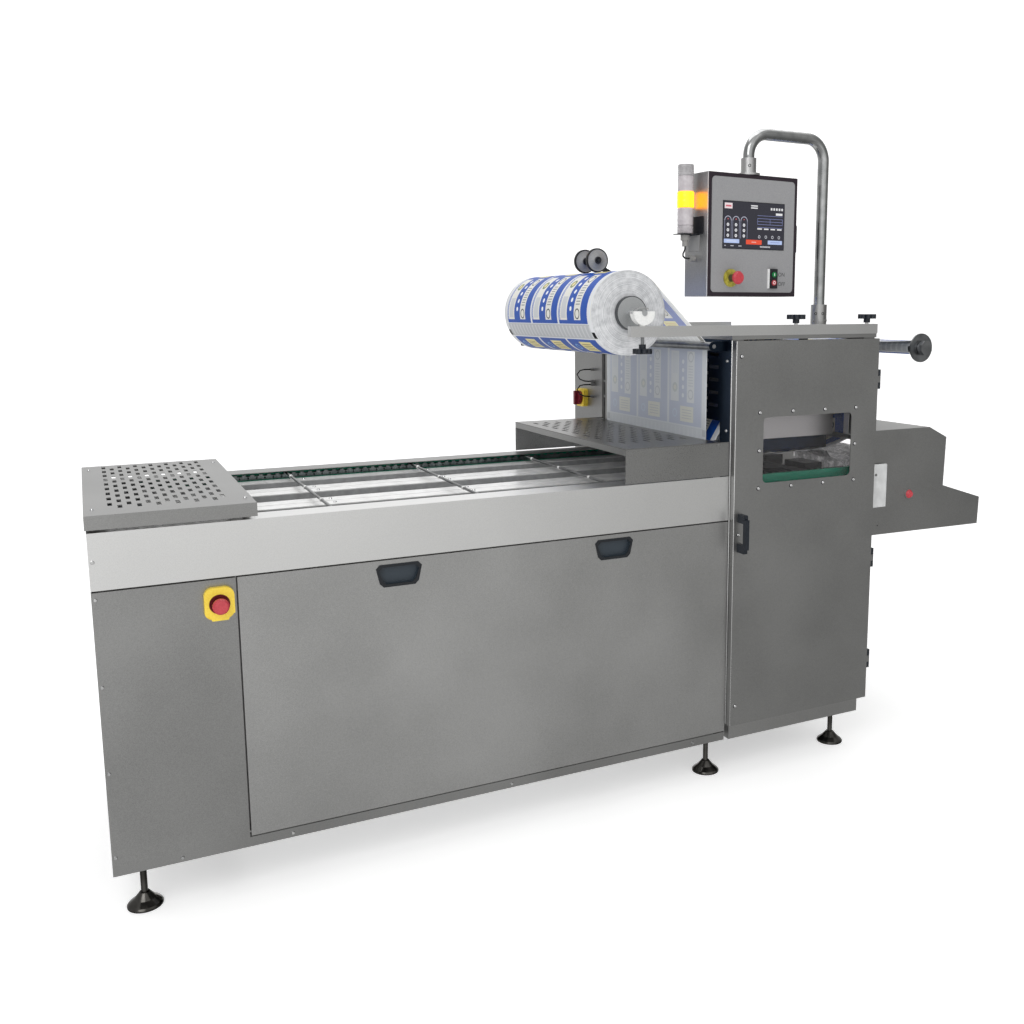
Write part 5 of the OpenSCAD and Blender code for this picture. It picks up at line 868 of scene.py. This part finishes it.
face_overlay, tree = new_material("grey_overlay_and_black_block")
place = add(tree, "ShaderNodeTexCoord").outputs["Object"]
grain = add(tree, "ShaderNodeTexNoise", inputs={"Vector": place, "Scale": 520.0, "Detail": 3.0})
tone = add(tree, "ShaderNodeValToRGB", inputs={"Fac": grain}, stops=((0.34, "#8f8f91"), (0.66, "#9c9c9e")))
raised = add(tree, "ShaderNodeMath", {"operation": "LESS_THAN"}, {0: box_depth(tree, place), 1: -0.0023})
tone = add(tree, "ShaderNodeMix", {"data_type": "RGBA"}, {0: raised, 6: tone, 7: linear("#1b1c22")})
bump = add(tree, "ShaderNodeBump", inputs={"Height": grain, "Strength": 0.12, "Distance": 0.0006})
finish_material(tree, {"Base Color": tone, "Roughness": 0.48, "Normal": bump})
dress(face_overlay, "control_face")


def round_box_outline(width, height, radius, steps=6):
    """A rectangle's outline with round corners: each corner's centre plus r (cos a, sin a), with a over a
    quarter turn."""
    quarter = np.linspace(0, math.pi / 2, steps)
    signs = np.array([(1, 1), (-1, 1), (-1, -1), (1, -1)])
    angle = quarter[None, :] + np.arange(4)[:, None] * math.pi / 2
    centre = signs * (width / 2 - radius, height / 2 - radius)
    return (centre[:, None] + radius * np.stack([np.cos(angle), np.sin(angle)], 2)).reshape(-1, 2)


def on_front(grid, x, y, z):
    """A grid of (u right, v up, w forwards) with its origin at the box's (x, y, z)."""
    return on_box(x + grid[..., 0], y - grid[..., 2], z + grid[..., 1])


def on_left_side(grid, y, z):
    """A grid of (u back, v up, w to the left) with its origin on the box's left side at y and z."""
    return on_box(box_left_x - grid[..., 2], y + grid[..., 0], z + grid[..., 1])


# the lit screen: slate ground, a tag, three arched tray outlines, a ruled table, icon rows and
# three touch fields, all of them plain shapes; u and v are metres from its middle
screen_glass, tree = new_material("lit_screen_glass")
uv = add(tree, "ShaderNodeSeparateXYZ", inputs={"Vector": add(tree, "ShaderNodeTexCoord").outputs["UV"]})
u, v = uv.outputs["X"], uv.outputs["Y"]
lanes, lane, fine = (u, -0.1140, -0.0230), repeat(tree, u, 0.0305, -0.1140), repeat(tree, u, 0.0030)
arches, pips = away(tree, lane, v, (0.0132, 0.012)), away(tree, lane, v, (0.0132, 0.0165))
trays = away(tree, lane, repeat(tree, v, 0.0155, -0.0380), (0.0132, 0.0076))
key = repeat(tree, u, 0.0260, 0.0120)
glow = linear("#34343c")
for code, *spans in (
    ("#f2e3e6", (u, -0.114, -0.085), (v, 0.046, 0.062)),
    ("#d8707c", (u, -0.110, -0.089), (v, 0.051, 0.056)),
    ("#e8e8ea", (repeat(tree, v, 0.0062), 0.0, 0.0036), (u, -0.014, 0.012), (v, 0.0478, 0.0596)),
    ("#e8e8ea", (repeat(tree, u, 0.0105), 0.0, 0.0066), (u, 0.0630, 0.1140), (v, 0.0478, 0.0546)),
    ("#eeeef0", (u, 0.084, 0.110), (v, 0.0335, 0.0400)),
    ("#9a9cb4", (lane, 0.0, 0.0014), lanes, (v, -0.038, 0.012)),
    ("#9a9cb4", (lane, 0.0250, 0.0264), lanes, (v, -0.038, 0.012)),
    ("#b9bacb", (arches, 0.0112, 0.0134), lanes, (v, 0.012, 0.030)),
    ("#ececf0", (trays, 0.0016, 0.0046), lanes, (v, -0.0375, 0.010)),
    ("#e06a70", (pips, 0.0, 0.0018), lanes),
    ("#8b93c4", (repeat(tree, v, 0.0085, -0.0040), 0.0, 0.0011), (u, 0.012, 0.111), (v, -0.0042, 0.0310)),
    ("#8b93c4", (repeat(tree, u, 0.0490, 0.0120), 0.0, 0.0011), (u, 0.012, 0.1112), (v, 0.0045, 0.0222)),
    ("#eeeef0", (key, 0.0, 0.0180), (u, 0.012, 0.111), (v, -0.0098, -0.0060)),
    ("#c9cad2", (away(tree, key, v, (0.0080, -0.0310)), 0.0028, 0.0046), (u, 0.012, 0.111)),
    ("#bccdf6", (u, -0.115, -0.057), (v, -0.0520, -0.0405)),
    ("#f0573a", (u, -0.031, 0.030), (v, -0.0540, -0.0405)),
    ("#bccdf6", (u, 0.054, 0.111), (v, -0.0520, -0.0405)),
    ("#e9edf8", (fine, 0.0, 0.0019), (v, -0.0475, -0.0450), (u, -0.105, -0.068)),
    ("#f7d9d2", (fine, 0.0, 0.0019), (v, -0.0485, -0.0460), (u, -0.009, 0.009)),
    ("#7b86b8", (fine, 0.0, 0.0019), (v, -0.0475, -0.0450), (u, 0.064, 0.101)),
    ("#e4e4e8", (repeat(tree, u, 0.0034), 0.0, 0.0022), (v, -0.0620, -0.0580), (u, 0.024, 0.064)),
    ("#c4c4ca", (repeat(tree, u, 0.0300), 0.0, 0.0120), (v, -0.0610, -0.0585), (u, -0.113, -0.030)),
):
    glow = inked(tree, glow, code, *spans)
finish_material(tree, {
    "Base Color": linear("#101014"), "Roughness": 0.12, "Emission Color": glow, "Emission Strength": 0.9,
})
screen = stacked(round_box_outline(235, 133, 2.5), [
    (0, 0.1), (1, 0.1), (1, 0.5), (0.996, 0.7), (0.6, 0.7), (0, 0.7),
])
screen_uv = np.concatenate([screen[..., :2], screen[:, :1, :2]], 1) / 1000
screen = on_front(screen, 0, -31, 1684)
glass = grid_piece("touch_screen", screen, [screen_glass], screen_uv, wrap_v=True, smooth=False)
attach(glass, "control_box")

# the case's front edge down the left side is a thin strip painted lighter than the case's steel, a painted
# highlight on the fold
edge = slab([(-1.7, -175.8), (1.7, -175.8), (1.7, 175.8), (-1.7, 175.8)], 0.02, 0.35)
edge = on_left_side(edge, -26.3, 1654.7)
piece = grid_piece("box_edge_line", edge, [plate_steel], wrap_v=True, smooth=False)
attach(piece, "control_box")

# marks on and beside the push buttons: a raised bar and ring in white, and the words of the
# switch in grey on the overlay
white_ink = moulded("white_button_ink", "#e9eaea", "#f4f4f4", 0.4)
grey_ink = moulded("grey_label_ink", "#3c3d40", "#46474a", 0.5)
button_x, button_face_y = 77, -40
bar = on_front(slab(round_box_outline(2.2, 8.4, 0.6, 3), -0.1, 0.25), button_x, button_face_y, 1543)
piece = grid_piece("start_mark", bar, [white_ink], wrap_v=True, smooth=False)
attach(piece, "start_button")
ring = stacked(round_outline(1, 32), [(4.9, 0.25), (3.1, 0.25), (3.1, -0.1), (4.9, -0.1)])
ring = on_front(ring, button_x, button_face_y, 1519)
piece = grid_piece("stop_mark", ring, [white_ink], wrap_u=True, wrap_v=True, smooth=False)
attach(piece, "stop_button")
trim = on_front(slab(round_box_outline(4.5, 58, 1, 3), 0, 5.6), 59.2, -30, 1531)
piece = grid_piece("block_side_trim", trim, [white_ink], wrap_v=True, smooth=False)
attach(piece, "control_box")
for word, height in (("ON", 1543), ("OFF", 1515)):
    letters = bpy.data.curves.new("label", "FONT")
    letters.body = word
    letters.size, letters.extrude = 17.0, 0.08
    letters.align_x, letters.align_y = "LEFT", "CENTER"
    writing = bpy.data.objects.new("label", letters)
    bpy.context.scene.collection.objects.link(writing)
    bpy.context.view_layer.update()
    label_mesh = bpy.data.meshes.new_from_object(writing)
    bpy.data.objects.remove(writing)
    flat = np.zeros(len(label_mesh.vertices) * 3)
    label_mesh.vertices.foreach_get("co", flat)
    placed = on_front(flat.reshape(-1, 3), 100, -30.1, height)
    label_mesh.vertices.foreach_set("co", placed.ravel())
    label_mesh.update()
    label_mesh.materials.clear()
    label_mesh.materials.append(grey_ink)
    label = bpy.data.objects.new("label_" + word.lower(), label_mesh)
    bpy.context.scene.collection.objects.link(label)
    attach(label, "control_box")

# ring of the panel's emergency stop: olive yellow plastic with worn dark marks round it
ring_plastic, tree = new_material("olive_yellow_stop_ring")
place = add(tree, "ShaderNodeTexCoord").outputs["Object"]
drift = add(tree, "ShaderNodeTexNoise", inputs={"Vector": place, "Scale": 90.0, "Detail": 3.0})
tone = add(tree, "ShaderNodeValToRGB", inputs={"Fac": drift}, stops=((0.35, "#8d8630"), (0.6, "#b8ae46")))
finish_material(tree, {"Base Color": tone, "Roughness": 0.42})
dress(ring_plastic, "panel_stop_ring")

# the stop's stem and seal behind its red head are dark
stop_body, tree = new_material("red_head_on_dark_stem")
place = add(tree, "ShaderNodeTexCoord").outputs["Object"]
drift = add(tree, "ShaderNodeTexNoise", inputs={"Vector": place, "Scale": 240.0, "Detail": 3.0})
tone = add(tree, "ShaderNodeValToRGB", inputs={"Fac": drift}, stops=((0.3, "#b83a44"), (0.7, "#c8464f")))
stem = add(tree, "ShaderNodeMath", {"operation": "GREATER_THAN"}, {0: box_depth(tree, place), 1: -0.0285})
tone = add(tree, "ShaderNodeMix", {"data_type": "RGBA"}, {0: stem, 6: tone, 7: linear("#4b4738")})
finish_material(tree, {"Base Color": tone, "Roughness": 0.34})
dress(stop_body, "panel_estop")

# Signal lamp: clear ribbed sections with one lit yellow section, a ribbed cap and a grey base.
# It stands on a thin dark bracket with a steel connector, and its lead goes into the box.
lamp_x, lamp_y = -205.5, 35.0
clear_tones = ("#b7b1b5", "#c6c1c4")
for name, low, high, radius, colours, rough, lit, ribs in (
    ("lamp_base", 1658, 1681, 23.6, ("#a9a4a7", "#bdb8bb"), 0.35, 0.0, 0.0),
    ("lamp_lower_clear", 1681, 1731.9, 23.6, clear_tones, 0.16, 0.0, 0.35),
    ("lamp_yellow", 1731.9, 1776.95, 25.0, ("#ff980c", "#ffa210"), 0.3, 2.6, 0.2),
    ("lamp_upper_clear", 1776.95, 1821.9, 23.6, clear_tones, 0.16, 0.0, 0.35),
    ("lamp_cap", 1821.9, 1853, 23.6, ("#9a989a", "#b4b2b4"), 0.3, 0.0, 0.0),
):
    plastic, tree = new_material(name + "_plastic")
    place = add(tree, "ShaderNodeTexCoord").outputs["Object"]
    drift = add(tree, "ShaderNodeTexNoise", inputs={"Vector": place, "Scale": 60.0, "Detail": 2.0})
    tone = add(tree, "ShaderNodeValToRGB", inputs={"Fac": drift}, stops=zip((0.35, 0.65), colours))
    finish_material(tree, {
        "Base Color": tone, "Roughness": rough, "Coat Weight": 0.4,
        "Emission Color": tone, "Emission Strength": lit,
    })
    rings, dip = (3, 0.5) if ribs else (5, 1.1)
    rise = np.linspace(0, 1, 6 * rings + 1)
    rims = 1.8 * (rise > 0.999) + 0.8 * (rise < 0.001)
    waist = (radius - dip * np.abs(np.sin(rise * rings * math.pi)) ** 4 - rims) / radius
    levels = low + 0.1 + rise * (high - low - 0.2)
    body = stacked(round_outline(radius, 72), [(0, low + 0.1), *zip(waist, levels), (0, high - 0.1)])
    flutes = 1 - ribs * 0.02 * (np.arange(72) % 2)
    body = on_box(lamp_x + body[..., 0] * flutes, lamp_y + body[..., 1] * flutes, body[..., 2])
    piece = grid_piece(name, body, [plastic], wrap_v=True)
    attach(piece, "control_box")
    if name == "lamp_base":
        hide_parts("signal_lamp")

lamp_spot, plug_spot = (on_box(x, lamp_y, 1500) * 1000 + middle_foot for x in (lamp_x, -180))
dress(moulded("black_fittings_with_steel_plugs", "#14161c", "#1d2027", 0.38, regions=(
    ("#8f8e8c", (lamp_spot[0] - 16, lamp_spot[1] - 16, 1615), (lamp_spot[0] + 16, lamp_spot[1] + 16, 1654)),
    ("#8f8e8c", (plug_spot[0] - 16, plug_spot[1] - 14, 1576), (plug_spot[0] + 16, plug_spot[1] + 14, 1600)),
    ("#8d8d8d", (plug_spot[0] - 6, plug_spot[1] - 60, 1601), (plug_spot[0] + 16, plug_spot[1] + 60, 1654)),
)), "box_fittings")
upright = on_left_side(slab(round_box_outline(64, 50, 3, 3), 0.2, 2.4), 24, 1682)
piece = grid_piece("lamp_bracket_upright", upright, [black_moulding], wrap_v=True, smooth=False)
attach(piece, "control_box")

# Set screws clamp the mast in its socket and the box on the mast: short blackened steel studs
# with a sunk socket, whose ends stand a little out of the collar.
for name, body, centre, radius, z, turns in (
    ("socket_set_screws", "machine", (2118, 106), 25.0, 1426, (210, 262)),
    ("collar_set_screws", "control_box", mast_drop, 23.0, 1858, (243,)),
):
    stud = stacked(round_outline(4.6, 12), [
        (0, -1.5), (1, -1.5), (1, 0.4), (0.62, 0.4), (0.5, -1.2), (0, -1.2),
    ])
    turned = np.radians(np.array(turns, float))[:, None, None]
    outwards = radius + stud[..., 2]
    studs = at(
        centre[0] + outwards * np.cos(turned) - stud[..., 0] * np.sin(turned),
        centre[1] + outwards * np.sin(turned) + stud[..., 0] * np.cos(turned),
        z + stud[..., 1] + 0 * turned,
    )
    piece = grid_piece(name, studs, [black_moulding], wrap_v=True)
    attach(piece, body)
